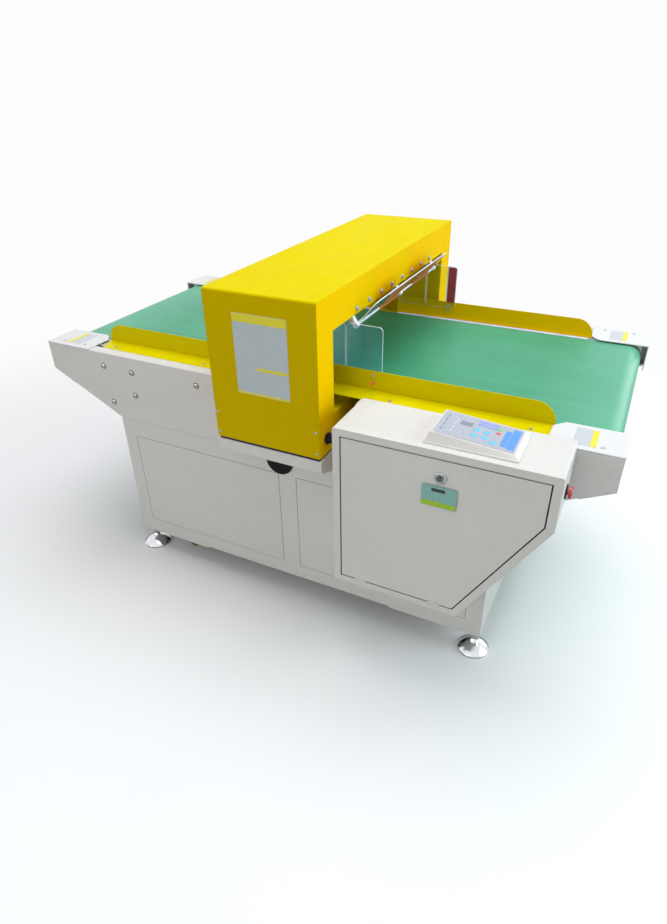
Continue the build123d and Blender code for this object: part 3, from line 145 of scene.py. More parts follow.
def add_node(tree, kind, inputs=None, **settings):
    """A node of that kind in the tree; inputs names sockets, each with a value or an output."""
    made = tree.nodes.new(kind)
    for setting, value in settings.items():
        setattr(made, setting, value)
    for socket, value in (inputs or {}).items():
        if isinstance(value, bpy.types.NodeSocket):
            tree.links.new(value, made.inputs[socket])
        else:
            made.inputs[socket].default_value = value
    return made


world = bpy.data.worlds.new("hall_sky")
bpy.context.scene.world = world
world.use_nodes = True
sky = world.node_tree
sky.nodes.clear()
ray = add_node(sky, "ShaderNodeLightPath").outputs
seen = add_node(sky, "ShaderNodeMath", {0: ray["Is Camera Ray"], 1: ray["Is Transmission Ray"]},
                operation="MAXIMUM")
seen = add_node(sky, "ShaderNodeMath", {0: seen.outputs[0], 1: ray["Is Glossy Ray"]},
                operation="MAXIMUM")
even_light = add_node(sky, "ShaderNodeBackground",
                      {"Color": (0.93, 0.96, 1.0, 1), "Strength": 0.42})
white = add_node(sky, "ShaderNodeBackground",
                 {"Color": (1, 1, 1, 1), "Strength": backdrop_white})
sky_choice = add_node(sky, "ShaderNodeMixShader", {
    "Fac": seen.outputs[0], 1: even_light.outputs[0], 2: white.outputs[0]})
add_node(sky, "ShaderNodeOutputWorld", {"Surface": sky_choice.outputs[0]})
print("sky:", world.name)

# %% [markdown]
# The floor is a plain pale sheet that keeps the machine's shadow. A shadow catcher would need
# render settings, so a large square does it. Its paint is pale for the camera and a middle grey
# for light that bounces, or the machine's underside would be lit too much. Far from the machine
# it fades into a plain white glow, so that no horizon shows.

# %% Floor
floor_half_size = 9.0
fade_start, fade_end = 1.0, 2.8
floor_mesh = bpy.data.meshes.new("studio_floor")
floor_mesh.from_pydata([(x * floor_half_size, y * floor_half_size, 0)
                        for x, y in ((-1, -1), (1, -1), (1, 1), (-1, 1))], [], [(0, 1, 2, 3)])
floor = bpy.data.objects.new("studio_floor", floor_mesh)
bpy.context.scene.collection.objects.link(floor)

mix_share, mix_first, mix_second, mix_result = 0, 6, 7, 2  # a Mix node's sockets for colours
floor_paint = bpy.data.materials.new("studio_floor_paint")
floor_paint.use_nodes = True
paint = floor_paint.node_tree
matt = paint.nodes["Principled BSDF"]
matt.inputs["Roughness"].default_value = 0.9
matt.inputs["Specular IOR Level"].default_value = 0.1
floor_seen = add_node(paint, "ShaderNodeLightPath").outputs["Is Camera Ray"]
tone = add_node(paint, "ShaderNodeMix", {
    mix_share: floor_seen, mix_first: (0.50, 0.50, 0.50, 1), mix_second: (0.90, 0.90, 0.90, 1),
}, data_type="RGBA")
paint.links.new(tone.outputs[mix_result], matt.inputs["Base Color"])
spot = add_node(paint, "ShaderNodeTexCoord").outputs["Object"]
distance = add_node(paint, "ShaderNodeVectorMath", {0: spot}, operation="LENGTH")
fade = add_node(paint, "ShaderNodeMapRange", {
    "Value": distance.outputs["Value"], "From Min": fade_start, "From Max": fade_end,
}, interpolation_type="SMOOTHSTEP")
far_seen = add_node(paint, "ShaderNodeMath", {0: fade.outputs["Result"], 1: floor_seen},
                    operation="MULTIPLY")
glow = add_node(paint, "ShaderNodeEmission",
                {"Color": (1, 1, 1, 1), "Strength": backdrop_white})
floor_blend = add_node(paint, "ShaderNodeMixShader", {
    "Fac": far_seen.outputs[0], 1: matt.outputs[0], 2: glow.outputs[0]})
paint.links.new(floor_blend.outputs[0], paint.nodes["Material Output"].inputs["Surface"])
floor_mesh.materials.append(floor_paint)
print("floor:", 2 * floor_half_size, "m wide")

# %% [markdown]
# Every finish below starts the same way: one Principled shader with its plain values typed on its
# own sockets, and a few texture nodes that vary colour, roughness and bump. They could be wired
# by hand in the shader editor, but a small class keeps each node to one line. Object coordinates
# are in metres, because the CAD nodes sit at the origin, so a noise scale of 700 means grains of
# about a millimetre and a half.

# %% Helper for shader nodes
class ShaderRecipe:
    """A material with a Principled shader and short ways to add plain nodes to it."""

    def __init__(self, name, colour, roughness, metallic=0.0):
        self.material = bpy.data.materials.new(name)
        self.material.use_nodes = True
        self.material.diffuse_color = (*colour, 1)
        self.tree = self.material.node_tree
        self.shader = self.tree.nodes["Principled BSDF"]
        self.set("Base Color", (*colour, 1))
        self.set("Roughness", roughness)
        self.set("Metallic", metallic)
        self.place = self.node("ShaderNodeTexCoord").outputs["Object"]

    def set(self, socket, value):
        self.shader.inputs[socket].default_value = value

    def node(self, kind, inputs=None, **settings):
        return add_node(self.tree, kind, inputs, **settings)

    def use(self, **sources):
        """Links each source to the shader's socket of that name; Base_Color is Base Color."""
        for socket, source in sources.items():
            self.tree.links.new(source, self.shader.inputs[socket.replace("_", " ")])
        return self.material

    def axes(self):
        """Where a point lies along x, y and z."""
        return self.node("ShaderNodeSeparateXYZ", {0: self.place}).outputs

    def face_normal(self):
        return self.node("ShaderNodeNewGeometry").outputs["True Normal"]

    def face_axes(self):
        """How far a flat face looks along x, y and z."""
        return self.node("ShaderNodeSeparateXYZ", {0: self.face_normal()}).outputs

    def noise(self, scale, detail=3.0, stretch=None):
        """Cloudy noise, from 0 to 1; stretch scales it per axis, for streaks and grain."""
        place = self.place
        if stretch:
            place = self.node("ShaderNodeMapping", {"Vector": place, "Scale": stretch}).outputs[0]
        return self.node("ShaderNodeTexNoise", {
            "Vector": place, "Scale": scale, "Detail": detail}).outputs["Fac"]

    def math(self, operation, first, second=0.0):
        return self.node("ShaderNodeMath", {0: first, 1: second}, operation=operation).outputs[0]


print("node helper ready")

# %% [markdown]
# Real finishes repeat a few effects: two colours in clouds, grain that stands up a little, folded
# edges that catch the light and wear first. Each takes several nodes, and they could be copied
# from finish to finish, but as methods on top of the plain ones they can be named for what they
# do. The Bevel node rounds edges for the light only, so the CAD mesh stays as it is.

# %% Helper for building finishes
class Finish(ShaderRecipe):
    """A recipe that can also spread, mix, emboss and wear."""

    def weighed(self, first, second, share):
        """The first source times its share, plus the second times the rest."""
        return self.math("ADD", self.math("MULTIPLY", first, share),
                         self.math("MULTIPLY", second, 1.0 - share))

    def ranged(self, source, low, high, from_low=0.3, from_high=0.7):
        """The source's middle values spread from low to high."""
        return self.node("ShaderNodeMapRange", {
            "Value": source, "From Min": from_low, "From Max": from_high,
            "To Min": low, "To Max": high}).outputs["Result"]

    def mixed(self, mask, first, second):
        """One colour where the mask is 0, the other where it is 1."""
        first, second = ((*colour, 1) if isinstance(colour, tuple) else colour
                         for colour in (first, second))
        return self.node("ShaderNodeMix", {
            mix_share: mask, mix_first: first, mix_second: second,
        }, data_type="RGBA").outputs[mix_result]

    def bump(self, height, depth, strength=1.0, after=None):
        """Bump from a height, its depth in metres, on top of another normal."""
        inputs = {"Height": height, "Distance": depth, "Strength": strength}
        if after is not None:
            inputs["Normal"] = after
        return self.node("ShaderNodeBump", inputs).outputs["Normal"]

    def soft_edges(self, radius):
        return self.node("ShaderNodeBevel", {"Radius": radius}, samples=4).outputs["Normal"]

    def worn_edges(self, rounded):
        """1 on sharp edges, 0 on flat faces, from how far the rounded normal turns."""
        agreement = self.node("ShaderNodeVectorMath", {0: rounded, 1: self.face_normal()},
                              operation="DOT_PRODUCT").outputs["Value"]
        return self.ranged(agreement, low=1.0, high=0.0, from_low=0.75, from_high=0.97)


def dress(material, *names):
    """Gives the CAD nodes of those names the finish."""
    for name in names:
        mesh = nodes[name].data
        mesh.materials.clear()
        mesh.materials.append(material)


print("helpers ready")

# %% [markdown]
# The sheet metal is powder coated. Powder flows into a faint orange peel, so the bump has grains
# of about a millimetre and a half; large soft clouds stop the big panels from looking printed.
# Folded edges catch the light. They could be rounded in the mesh, but the Bevel node shows it
# without touching the CAD. A coat can also take another tone on faces that look a given way,
# which the true normal picks out; such tones are painted light and shade: lighter or darker
# colours that stand for how the lamps fall on those faces.

# %% Powder coat
def powder_coat(name, colour, roughness, streaks=None, gloss=0.3, tint=(1, 1, 1), painted_light_tones=()):
    """A coat of that colour; the face tones give faces that look along an axis their own colour.

    Those colours are painted light and shade. Each of them is an axis, a sign (0 for both ways
    along it) and the colour.
    """
    cloud_shade, edge_radius, edge_wear = 0.94, 0.0022, 0.45
    coat = Finish(name, colour, roughness)
    coat.set("Specular IOR Level", gloss)
    coat.set("Specular Tint", (*tint, 1))
    mottle = coat.noise(26.0, 4.0, streaks) if streaks else coat.noise(scale=60.0)
    patches = coat.weighed(coat.noise(scale=3.5, detail=2.0), mottle, share=0.5)
    patches = coat.ranged(patches, low=0.0, high=1.0, from_low=0.35, from_high=0.65)
    body = coat.mixed(patches, tuple(cloud_shade * v for v in colour), colour)
    facing = coat.face_axes() if painted_light_tones else None
    # Each face tone paints light or shade: faces that look that way get a lighter or darker
    # colour.
    for axis, sign, painted_tone_colour in painted_light_tones:
        along_axis = (coat.math("MULTIPLY", facing[axis], float(sign)) if sign
                      else coat.math("ABSOLUTE", facing[axis]))
        looks_there = coat.ranged(along_axis, low=0.0, high=1.0, from_low=0.4, from_high=0.9)
        other = coat.mixed(patches, tuple(cloud_shade * v for v in painted_tone_colour), painted_tone_colour)
        body = coat.mixed(looks_there, body, other)
    rounded = coat.soft_edges(edge_radius)
    pale = tuple(min(1.0, 1.12 * v + 0.02) for v in colour)
    worn = coat.math("MULTIPLY", coat.worn_edges(rounded), edge_wear)
    return coat.use(
        Base_Color=coat.mixed(worn, body, pale),
        Roughness=coat.ranged(coat.noise(scale=14.0), roughness - 0.06, roughness + 0.08),
        Normal=coat.bump(coat.noise(scale=620.0, detail=2.0), depth=0.00012, strength=0.5,
                         after=rounded),
    )


grey_coat = powder_coat("grey_powder_coat", (0.715, 0.70, 0.665), 0.42)
dress(grey_coat, "base_frame", "front_panels", "rear_panels", "end_panels", "head_tray",
      "cover_front_a", "cover_front_b", "cover_rear_a", "cover_rear_b", "box_shell", "box_door")
dress(powder_coat("white_cap_coat", (0.74, 0.74, 0.745), 0.4), "end_caps_a", "end_caps_b")
dress(powder_coat("pale_bed_coat", (0.72, 0.73, 0.84), 0.3), "slider_beds")
print("grey and white sheets coated")

# %% [markdown]
# The head and the guides are yellow, which a buyer sees first. One flat yellow would look like
# paper, so the coat is lemon on top, with painted shade, a deeper yellow, on the faces that look
# across the belt, and painted light, a warmer yellow, on the faces at the tunnel's mouths and on
# those that look back over the belt. So the same recipe is used three times, with painted light
# and shade per direction, a low gloss and a yellow tint in what is left of it.

# %% Yellow head and guides
along_x, along_y = 0, 1
streaks, yellow_tint = (1.0, 0.35, 3.0), (1.0, 0.85, 0.15)
# The first yellow below is a deeper one painted as shade, the second a warmer one painted as
# light.
painted_shade_yellow, painted_light_yellow = (0.66, 0.56, 0.0), (0.98, 0.54, 0.0)
# On the head, the orange on faces along x is painted light and the deeper yellow on faces across
# the belt is painted shade.
dress(powder_coat("yellow_powder_coat", (0.72, 0.59, 0.0), 0.48, streaks, 0.015, yellow_tint,
                  ((along_x, 0, (1.0, 0.60, 0.0)), (along_y, 0, (0.64, 0.46, 0.0)))),
      "head_upper_housing", "head_lower_housing")
# On the front guides, both faces across the belt get the deeper yellow as painted shade.
dress(powder_coat("front_guide_coat", (0.73, 0.63, 0.0), 0.38, streaks, 0.07, yellow_tint,
                  ((along_y, 0, painted_shade_yellow),)),
      "guide_front_a", "guide_front_b")
# On the rear guides, faces that look away from the belt get painted shade and faces that look back
# over it get painted light.
dress(powder_coat("rear_guide_coat", (0.73, 0.62, 0.0), 0.38, streaks, 0.07, yellow_tint,
                  ((along_y, 1, painted_shade_yellow), (along_y, -1, painted_light_yellow))),
      "guide_rear_a", "guide_rear_b")
print("head and guides coated")

# %% [markdown]
# The belt is green PVC on woven cloth. Its face is nearly smooth with a very fine fabric print,
# long faint tracks from the goods, a painted sheen that makes it paler towards the rollers where
# it turns, and one finger splice: a zigzag line across the belt where its ends are welded. A weave
# texture would show stripes from afar, so crossed noise stands for the cloth, and a triangle wave
# draws the zigzag.

# %% Belt
belt_middle = 0.042
belt_edge_inner, belt_edge_outer = 0.2885, 0.2895
# Where the painted sheen towards the rollers starts and ends along x.
roller_sheen_start, roller_sheen_end = 0.56, 0.79
splice_place, splice_tooth, splice_slope, splice_width = 0.50, 0.035, 1.9, 0.0011


def belt_finish():
    green = Finish("green_pvc_belt", (0.075, 0.375, 0.22), 0.34)
    green.set("Specular IOR Level", 0.17)
    green.set("Coat Weight", 0.04)
    green.set("Coat Roughness", 0.22)
    x, y, _ = green.axes()
    clouds = green.noise(scale=2.2, stretch=(1.0, 1.6, 1.0))
    body = green.mixed(green.ranged(clouds, 0.0, 1.0), (0.047, 0.30, 0.163), (0.069, 0.368, 0.212))
    tracks = green.noise(scale=9.0, detail=5.0, stretch=(0.12, 4.0, 1.0))
    body = green.mixed(green.ranged(tracks, 0.0, 0.3, 0.52, 0.75), body, (0.108, 0.42, 0.265))
    # Painted sheen: a paler green towards the rollers stands for light that the belt reflects
    # where it turns.
    painted_roller_sheen = green.ranged(green.math("ABSOLUTE", x), 0.0, 0.45, roller_sheen_start, roller_sheen_end)
    body = green.mixed(painted_roller_sheen, body, (0.19, 0.51, 0.36))
    teeth = green.math("PINGPONG", y, splice_tooth)
    run = green.math("SUBTRACT", x, green.math("MULTIPLY", teeth, splice_slope))
    seam = green.math("ABSOLUTE", green.math("SUBTRACT", run, splice_place))
    body = green.mixed(green.ranged(seam, 0.55, 0.0, 0.0, splice_width), body,
                       (0.035, 0.20, 0.115))
    edge = green.math("ABSOLUTE", green.math("SUBTRACT", y, belt_middle))
    edge = green.ranged(edge, 0.0, 0.6, belt_edge_inner, belt_edge_outer)
    warp = green.noise(scale=500.0, detail=1.0, stretch=(0.3, 1.0, 1.0))
    weft = green.noise(scale=500.0, detail=1.0, stretch=(1.0, 0.3, 1.0))
    waves = green.noise(scale=5.0, detail=1.0, stretch=(0.25, 1.4, 1.0))
    cloth = green.bump(green.math("ADD", warp, weft), depth=0.00004, strength=0.15)
    return green.use(
        Base_Color=green.mixed(edge, body, (0.30, 0.42, 0.36)),
        Roughness=green.ranged(green.noise(scale=30.0, detail=4.0), 0.31, 0.40),
        Normal=green.bump(waves, depth=0.001, strength=0.15, after=cloth),
    )


dress(belt_finish(), "belt")
print("belt finished, splice at x", splice_place)

# %% [markdown]
# The feet are turned and chromed, so they are almost mirrors with fine rings from the lathe. An
# anisotropic shader could draw the rings' glint, but at this size thin rings of bump look the same
# and survive baking. The noise is squeezed along z, which makes it come out as rings.

# %% Turned chrome
def turned_chrome():
    chrome = Finish("foot_chrome", (0.80, 0.81, 0.83), 0.13, metallic=1.0)
    haze_and_sky_glow = chrome.noise(scale=90.0, detail=4.0)
    rings = chrome.noise(scale=900.0, detail=1.0, stretch=(0.02, 0.02, 1.0))
    return chrome.use(
        Base_Color=chrome.mixed(chrome.ranged(haze_and_sky_glow, 0.0, 1.0),
                                (0.72, 0.73, 0.75), (0.84, 0.85, 0.87)),
        Roughness=chrome.ranged(haze_and_sky_glow, 0.08, 0.24),
        Normal=chrome.bump(rings, depth=0.00008, strength=0.35),
    )


dress(turned_chrome(), "foot_front_a", "foot_front_b", "foot_rear_a", "foot_rear_b")
print("feet chromed")

# %% [markdown]
# Zinc plating on nuts and screws is dull with a crystal pattern, and rolled steel plates show long
# brushing. Both are the same metal with another grain, so one recipe makes them: Voronoi cells
# for the crystals, and a noise that is stretched where the steel is brushed.

# %% Zinc and steel
def zinc_plate(name, colour, dark, stretch=None):
    zinc = Finish(name, colour, 0.34, metallic=1.0)
    crystals = zinc.node("ShaderNodeTexVoronoi", {"Vector": zinc.place, "Scale": 150.0})
    grain = zinc.noise(scale=70.0, detail=5.0, stretch=stretch)
    patches = zinc.weighed(crystals.outputs["Distance"], grain, share=0.35)
    return zinc.use(
        Base_Color=zinc.mixed(zinc.ranged(patches, 0.0, 1.0, 0.25, 0.6), dark, colour),
        Roughness=zinc.ranged(grain, 0.26, 0.48),
        Normal=zinc.bump(grain, depth=0.00012, strength=0.4,
                         after=zinc.soft_edges(radius=0.0006)),
    )


brushing = (0.08, 1.0, 6.0)
dress(zinc_plate("zinc_plated_steel", (0.66, 0.67, 0.68), (0.47, 0.48, 0.49)),
      "foot_lock_nuts", "head_fasteners", "photo_eyes", "motor_sprocket", "roller_sprocket")
dress(zinc_plate("brushed_steel_sheet", (0.60, 0.61, 0.61), (0.50, 0.51, 0.51), brushing),
      "side_plates", "drive_roller", "tail_roller", "snub_roller_a", "snub_roller_b")
dress(zinc_plate("oiled_chain_steel", (0.20, 0.20, 0.20), (0.10, 0.10, 0.10)), "drive_chain")
dress(zinc_plate("lock_barrel_steel", (0.62, 0.66, 0.66), (0.22, 0.30, 0.28)), "lock_barrel")
dress(zinc_plate("lock_plug_steel", (0.21, 0.26, 0.24), (0.05, 0.075, 0.07)), "lock_plug")
print("zinc and steel finished")

# %% [markdown]
# The bearing blocks and the motor are cast in sand, which leaves a rough skin, and paint or oil
# wears off their edges first. A coarse bump gives the skin, and the same edge mask as on the
# powder coat gives the wear, only stronger.

# %% Cast iron
def cast_metal(name, colour, roughness, metallic):
    cast = Finish(name, colour, roughness, metallic)
    stain = cast.noise(scale=22.0, detail=4.0)
    dark = tuple(v * 0.72 for v in colour)
    pale = tuple(min(1.0, v * 1.5 + 0.02) for v in colour)
    rounded = cast.soft_edges(radius=0.0015)
    body = cast.mixed(cast.ranged(stain, 0.0, 1.0), dark, colour)
    worn = cast.math("MULTIPLY", cast.worn_edges(rounded), 0.5)
    return cast.use(
        Base_Color=cast.mixed(worn, body, pale),
        Roughness=cast.ranged(stain, roughness - 0.08, roughness + 0.1),
        Normal=cast.bump(cast.noise(scale=420.0), depth=0.0004, strength=0.5, after=rounded),
    )


dress(cast_metal("black_cast_iron", (0.055, 0.056, 0.06), 0.5, 0.3), "shaft_blocks")
dress(cast_metal("motor_casting", (0.30, 0.32, 0.34), 0.45, 0.6), "gear_motor")
print("castings finished")

# %% [markdown]
# The cover bolts are polished button heads on washers, with a hexagon socket. The washers are
# darker, a duller finish with painted shade round the heads, and the sockets' floors are painted
# black as shade in the recess. All of them are one CAD node, so it can't be split over three
# materials by hand. Instead a mask by the distance from the belt's middle tells washers from
# domes, and the floors of the sockets from the domes' outer faces, wherever a face looks across
# the belt.

# %% Button heads
cover_face = 0.395
washer_thickness, button_height, socket_depth = 0.0012, 0.0045, 0.0025
washer_face = cover_face + washer_thickness
socket_floor = washer_face + button_height - socket_depth
socket_margin, washer_margin = 0.0004, 0.0003


def button_head_finish():
    steel = Finish("button_head_steel", (0.62, 0.61, 0.58), 0.2, metallic=0.65)
    across = steel.math("ABSOLUTE", steel.math("SUBTRACT", steel.axes()[along_y], belt_middle))
    faces_out = steel.math("ABSOLUTE", steel.face_axes()[along_y])
    deep = steel.math("MULTIPLY",
                      steel.math("GREATER_THAN", across, socket_floor - socket_margin),
                      steel.math("LESS_THAN", across, socket_floor + socket_margin))
    socket = steel.math("MULTIPLY", steel.math("GREATER_THAN", faces_out, 0.9), deep)
    washer = steel.math("MULTIPLY",
                        steel.math("LESS_THAN", across, washer_face + washer_margin),
                        steel.math("GREATER_THAN", across, cover_face))
    grime = steel.noise(scale=160.0, detail=4.0)
    body = steel.mixed(steel.ranged(grime, 0.0, 1.0), (0.50, 0.49, 0.46), (0.70, 0.69, 0.67))
    # The washers' darker brown is a duller finish and painted shade round the heads.
    body = steel.mixed(washer, body, (0.30, 0.28, 0.25))
    return steel.use(
        # The socket floors are painted black: painted shade in the recess.
        Base_Color=steel.mixed(socket, body, (0.01, 0.01, 0.01)),
        Roughness=steel.ranged(grime, 0.14, 0.34),
        Normal=steel.bump(grime, depth=0.0001, strength=0.4,
                          after=steel.soft_edges(radius=0.0008)),
    )


dress(button_head_finish(), "conveyor_fasteners")
print("button heads finished, sockets", round(socket_floor, 4), "m from the belt's middle")

# %% [markdown]
# Rubber, moulded plastic and potted resin all come out of a mould: a slight mottle, a moulded
# texture and softened edges. Each could have a material built from nothing, but they differ only
# in their values, so one recipe with another grain and gloss makes them all.

# %% Plastics and rubber
def moulded(name, colour, roughness, grain_scale, grain_depth, coat=0.0, gloss=0.5):
    plastic = Finish(name, colour, roughness)
    plastic.set("Specular IOR Level", gloss)
    if coat:
        plastic.set("Coat Weight", coat)
        plastic.set("Coat Roughness", 0.12)
    rounded = plastic.soft_edges(radius=0.0008)
    dusty = plastic.noise(scale=40.0, detail=4.0)
    dark = tuple(v * 0.82 for v in colour)
    pale = tuple(min(1.0, v * 1.06 + 0.004) for v in colour)
    return plastic.use(
        Base_Color=plastic.mixed(plastic.ranged(dusty, 0.0, 1.0), dark, pale),
        Roughness=plastic.ranged(dusty, roughness - 0.05, roughness + 0.08),
        Normal=plastic.bump(plastic.noise(grain_scale, detail=2.0), grain_depth, strength=0.5,
                            after=rounded),
    )


dress(moulded("black_rubber", (0.007, 0.007, 0.008), 0.62, 900.0, 0.0002, gloss=0.15),
      "cable_grommet")
dress(moulded("blue_black_pad", (0.003, 0.009, 0.07), 0.6, 700.0, 0.0003, gloss=0.1), "tray_pad")
dress(moulded("black_moulding", (0.007, 0.007, 0.016), 0.42, 1200.0, 0.00012, gloss=0.2),
      "head_gland", "sensor_box", "stop_collar")
dress(moulded("white_moulding", (0.78, 0.78, 0.77), 0.36, 1000.0, 0.00008),
      "flap_rod", "sensor_lid", "wiring_duct", "tunnel_bed")
dress(moulded("red_button_plastic", (0.62, 0.012, 0.01), 0.25, 1500.0, 0.00004, coat=0.6),
      "stop_head")
dress(moulded("coil_resin", (0.05, 0.05, 0.06), 0.55, 300.0, 0.0003), "upper_coil", "lower_coil")
dress(powder_coat("console_enamel", (0.74, 0.715, 0.68), 0.34), "console")
dress(moulded("white_cable_sheath", (0.76, 0.76, 0.74), 0.4, 900.0, 0.00008), "sensor_lead")
print("plastics finished")

# %% [markdown]
# An earth lead has a green sheath with a yellow stripe round it. The stripe could be a second
# mesh, but it is only ink, so it is drawn as a wave instead: the place along z and x, each times
# how fast the stripe turns there, taken through a sine.

# %% Earth lead
stripe_turn_z, stripe_turn_x = 260.0, 180.0


def earth_sheath():
    sheath = Finish("earth_lead_sheath", (0.30, 0.34, 0.02), 0.42)
    x, _, z = sheath.axes()
    phase = sheath.math("ADD", sheath.math("MULTIPLY", z, stripe_turn_z),
                        sheath.math("MULTIPLY", x, stripe_turn_x))
    stripe = sheath.ranged(sheath.math("SINE", phase), 0.0, 1.0, -0.2, 0.2)
    return sheath.use(
        Base_Color=sheath.mixed(stripe, (0.03, 0.16, 0.03), (0.62, 0.50, 0.02)),
        Roughness=sheath.ranged(sheath.noise(200.0), 0.35, 0.5),
        Normal=sheath.bump(sheath.noise(600.0), depth=0.0001, strength=0.4),
    )


dress(earth_sheath(), "earth_lead")
print("earth lead striped")

# %% [markdown]
# Behind the door a zinc plate carries a green circuit board above and a pale supply housing
# below. They could be three materials on three meshes, but they are one CAD node, so height and
# depth tell them apart: what stands clear of the plate's face is board in the upper half and
# housing in the lower half.

# %% Mounting plate, board and supply
clear_of_plate = 0.0125


def electronics_finish():
    parts = Finish("control_electronics_finish", (0.55, 0.56, 0.57), 0.4)
    _, y, z = parts.axes()
    low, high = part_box("control_electronics")
    in_front = parts.math("LESS_THAN", y, high.y - clear_of_plate)
    board = parts.math("MULTIPLY", parts.math("GREATER_THAN", z, (low.z + high.z) / 2), in_front)
    housing = parts.math("SUBTRACT", in_front, board)
    grain = parts.noise(scale=160.0, detail=4.0)
    body = parts.mixed(housing, (0.50, 0.51, 0.52), (0.60, 0.61, 0.62))
    body = parts.mixed(board, body, (0.02, 0.17, 0.07))
    return parts.use(
        Base_Color=parts.mixed(parts.ranged(grain, 0.0, 0.25), body, (0.12, 0.12, 0.12)),
        Roughness=parts.ranged(grain, 0.32, 0.5),
        Normal=parts.bump(grain, depth=0.0002, strength=0.4,
                          after=parts.soft_edges(radius=0.0008)),
    )


dress(electronics_finish(), "control_electronics")
print("electronics finished")

# %% [markdown]
# The flap and the side shields are clear acrylic sheet. Its faces are nearly invisible, but the
# sawn edges scatter light and read as bright lines. Plain glass would lose them, so the shader is
# split by the face normal: glass on the two large faces, frosted white on the narrow ones, with a
# faint bluish glow on them that is painted light. The normal is turned into the sheet's own axes,
# so the split swings with the flap.

# %% Frosted edges
large_face_limit = 0.6


def frosted_edges(sheet, face_direction):
    """The sheet's shader on faces along that direction, a frosted one with a faint painted glow on
    all others.
    """
    # The frost's faint bluish emission is painted light that brightens the sawn edges.
    frost = sheet.node("ShaderNodeBsdfPrincipled", {
        "Base Color": (0.68, 0.70, 0.78, 1), "Roughness": 0.5,
        "Emission Color": (0.80, 0.84, 1.0, 1), "Emission Strength": 0.06})
    normal = sheet.node("ShaderNodeVectorTransform", {0: sheet.face_normal()},
                        vector_type="NORMAL", convert_from="WORLD", convert_to="OBJECT")
    agreement = sheet.node("ShaderNodeVectorMath", {0: normal.outputs[0], 1: face_direction},
                           operation="DOT_PRODUCT").outputs["Value"]
    edge = sheet.math("LESS_THAN", sheet.math("ABSOLUTE", agreement), large_face_limit)
    return sheet.node("ShaderNodeMixShader", {
        "Fac": edge, 1: sheet.shader.outputs[0], 2: frost.outputs[0]}).outputs[0]


print("frosted below a share of", large_face_limit)

# %% [markdown]
# Brown paper is wrapped round two stretches of the sleeve that holds the flap to its rod. It
# could be a tube of its own, but it lies on the sleeve without a step, so it is a second split of
# the same shader, by the distance from the hinge line and the place along it.

# %% Paper on the flap's sleeve
flap_axis = Vector((0.158, 0.042, 0.851))
sleeve_radius = 0.0062
paper_stretches = ((-0.110, 0.026), (0.130, 0.270))


def papered_sleeve(sheet, surface):
    """Brown paper over the surface, on the flap's sleeve and along its stretches."""
    x, y, z = sheet.axes()
    away = sheet.math("ADD",
                      sheet.math("POWER", sheet.math("SUBTRACT", x, flap_axis.x), 2.0),
                      sheet.math("POWER", sheet.math("SUBTRACT", z, flap_axis.z), 2.0))
    on_sleeve = sheet.math("LESS_THAN", away, sleeve_radius ** 2)
    wrapped = 0.0
    for start, stop in paper_stretches:
        inside = sheet.math("MULTIPLY", sheet.math("GREATER_THAN", y, start),
                            sheet.math("LESS_THAN", y, stop))
        wrapped = sheet.math("MAXIMUM", inside, wrapped)
    fibres = sheet.mixed(sheet.noise(scale=60.0, detail=4.0),
                         (0.44, 0.14, 0.045), (0.54, 0.19, 0.07))
    paper = sheet.node("ShaderNodeBsdfPrincipled", {
        "Base Color": fibres, "Roughness": 0.7, "Specular IOR Level": 0.02})
    return sheet.node("ShaderNodeMixShader", {
        "Fac": sheet.math("MULTIPLY", on_sleeve, wrapped), 1: surface, 2: paper.outputs[0],
    }).outputs[0]


print("papered stretches:", len(paper_stretches))

# %% [markdown]
# The sheet itself bends light a little, and on the operator's side it mirrors some blue sky.
# A true refraction with thick walls renders slowly and turns dark, so a low refractive index and
# a faint blue glow on the near sheets stand for both.

# %% Clear sheet
flap_run, flap_rise = 0.047, 0.057
flap_length = math.hypot(flap_run, flap_rise)
flap_face = (-flap_rise / flap_length, 0, flap_run / flap_length)


def clear_sheet(name, face_direction, haze_and_sky_glow, papered=False):
    """Clear acrylic; its large faces look along that direction, the near ones get a faint blue
    glow as painted reflection of sky.
    """
    sheet = Finish(name, (0.86, 0.94, 1.0), 0.04)
    sheet.set("Transmission Weight", 1.0)
    sheet.set("IOR", 1.25)
    sheet.set("Emission Color", (0.0, 0.5, 1.0, 1))
    near_side = sheet.math("LESS_THAN", sheet.axes()[along_y], belt_middle)
    surface = frosted_edges(sheet, face_direction)
    if papered:
        surface = papered_sleeve(sheet, surface)
    sheet.tree.links.new(surface, sheet.tree.nodes["Material Output"].inputs["Surface"])
    return sheet.use(
        # The near sheets' faint blue glow is painted reflection of the sky.
        Emission_Strength=sheet.math("MULTIPLY", near_side, haze_and_sky_glow),
        Roughness=sheet.ranged(sheet.noise(scale=20.0, detail=4.0), 0.02, 0.09),
        Normal=sheet.bump(sheet.noise(scale=6.0, detail=2.0), depth=0.002, strength=0.3),
    )


dress(clear_sheet("clear_shield_sheet", (0, 1, 0), haze_and_sky_glow=0.03), "side_shields")
dress(clear_sheet("clear_flap_sheet", flap_face, haze_and_sky_glow=0.01, papered=True), "tunnel_flap")
print("clear sheet finished")

# %% [markdown]
# The thin pieces that follow are built from points. A mesh could be typed as lists of points and
# faces, but with BMesh the new points join into faces as they are made. Two helpers do what every
# piece needs: one closes the band between two rings, the other turns the result into an object
# that rides on a body of the machine and has a kind of finish.

# %% Helpers for new pieces
def bridge(maker, low_ring, high_ring):
    """A band of four-sided faces between two rings of as many points."""
    for i in range(len(low_ring)):
        j = (i + 1) % len(low_ring)
        maker.faces.new((low_ring[i], low_ring[j], high_ring[j], high_ring[i]))


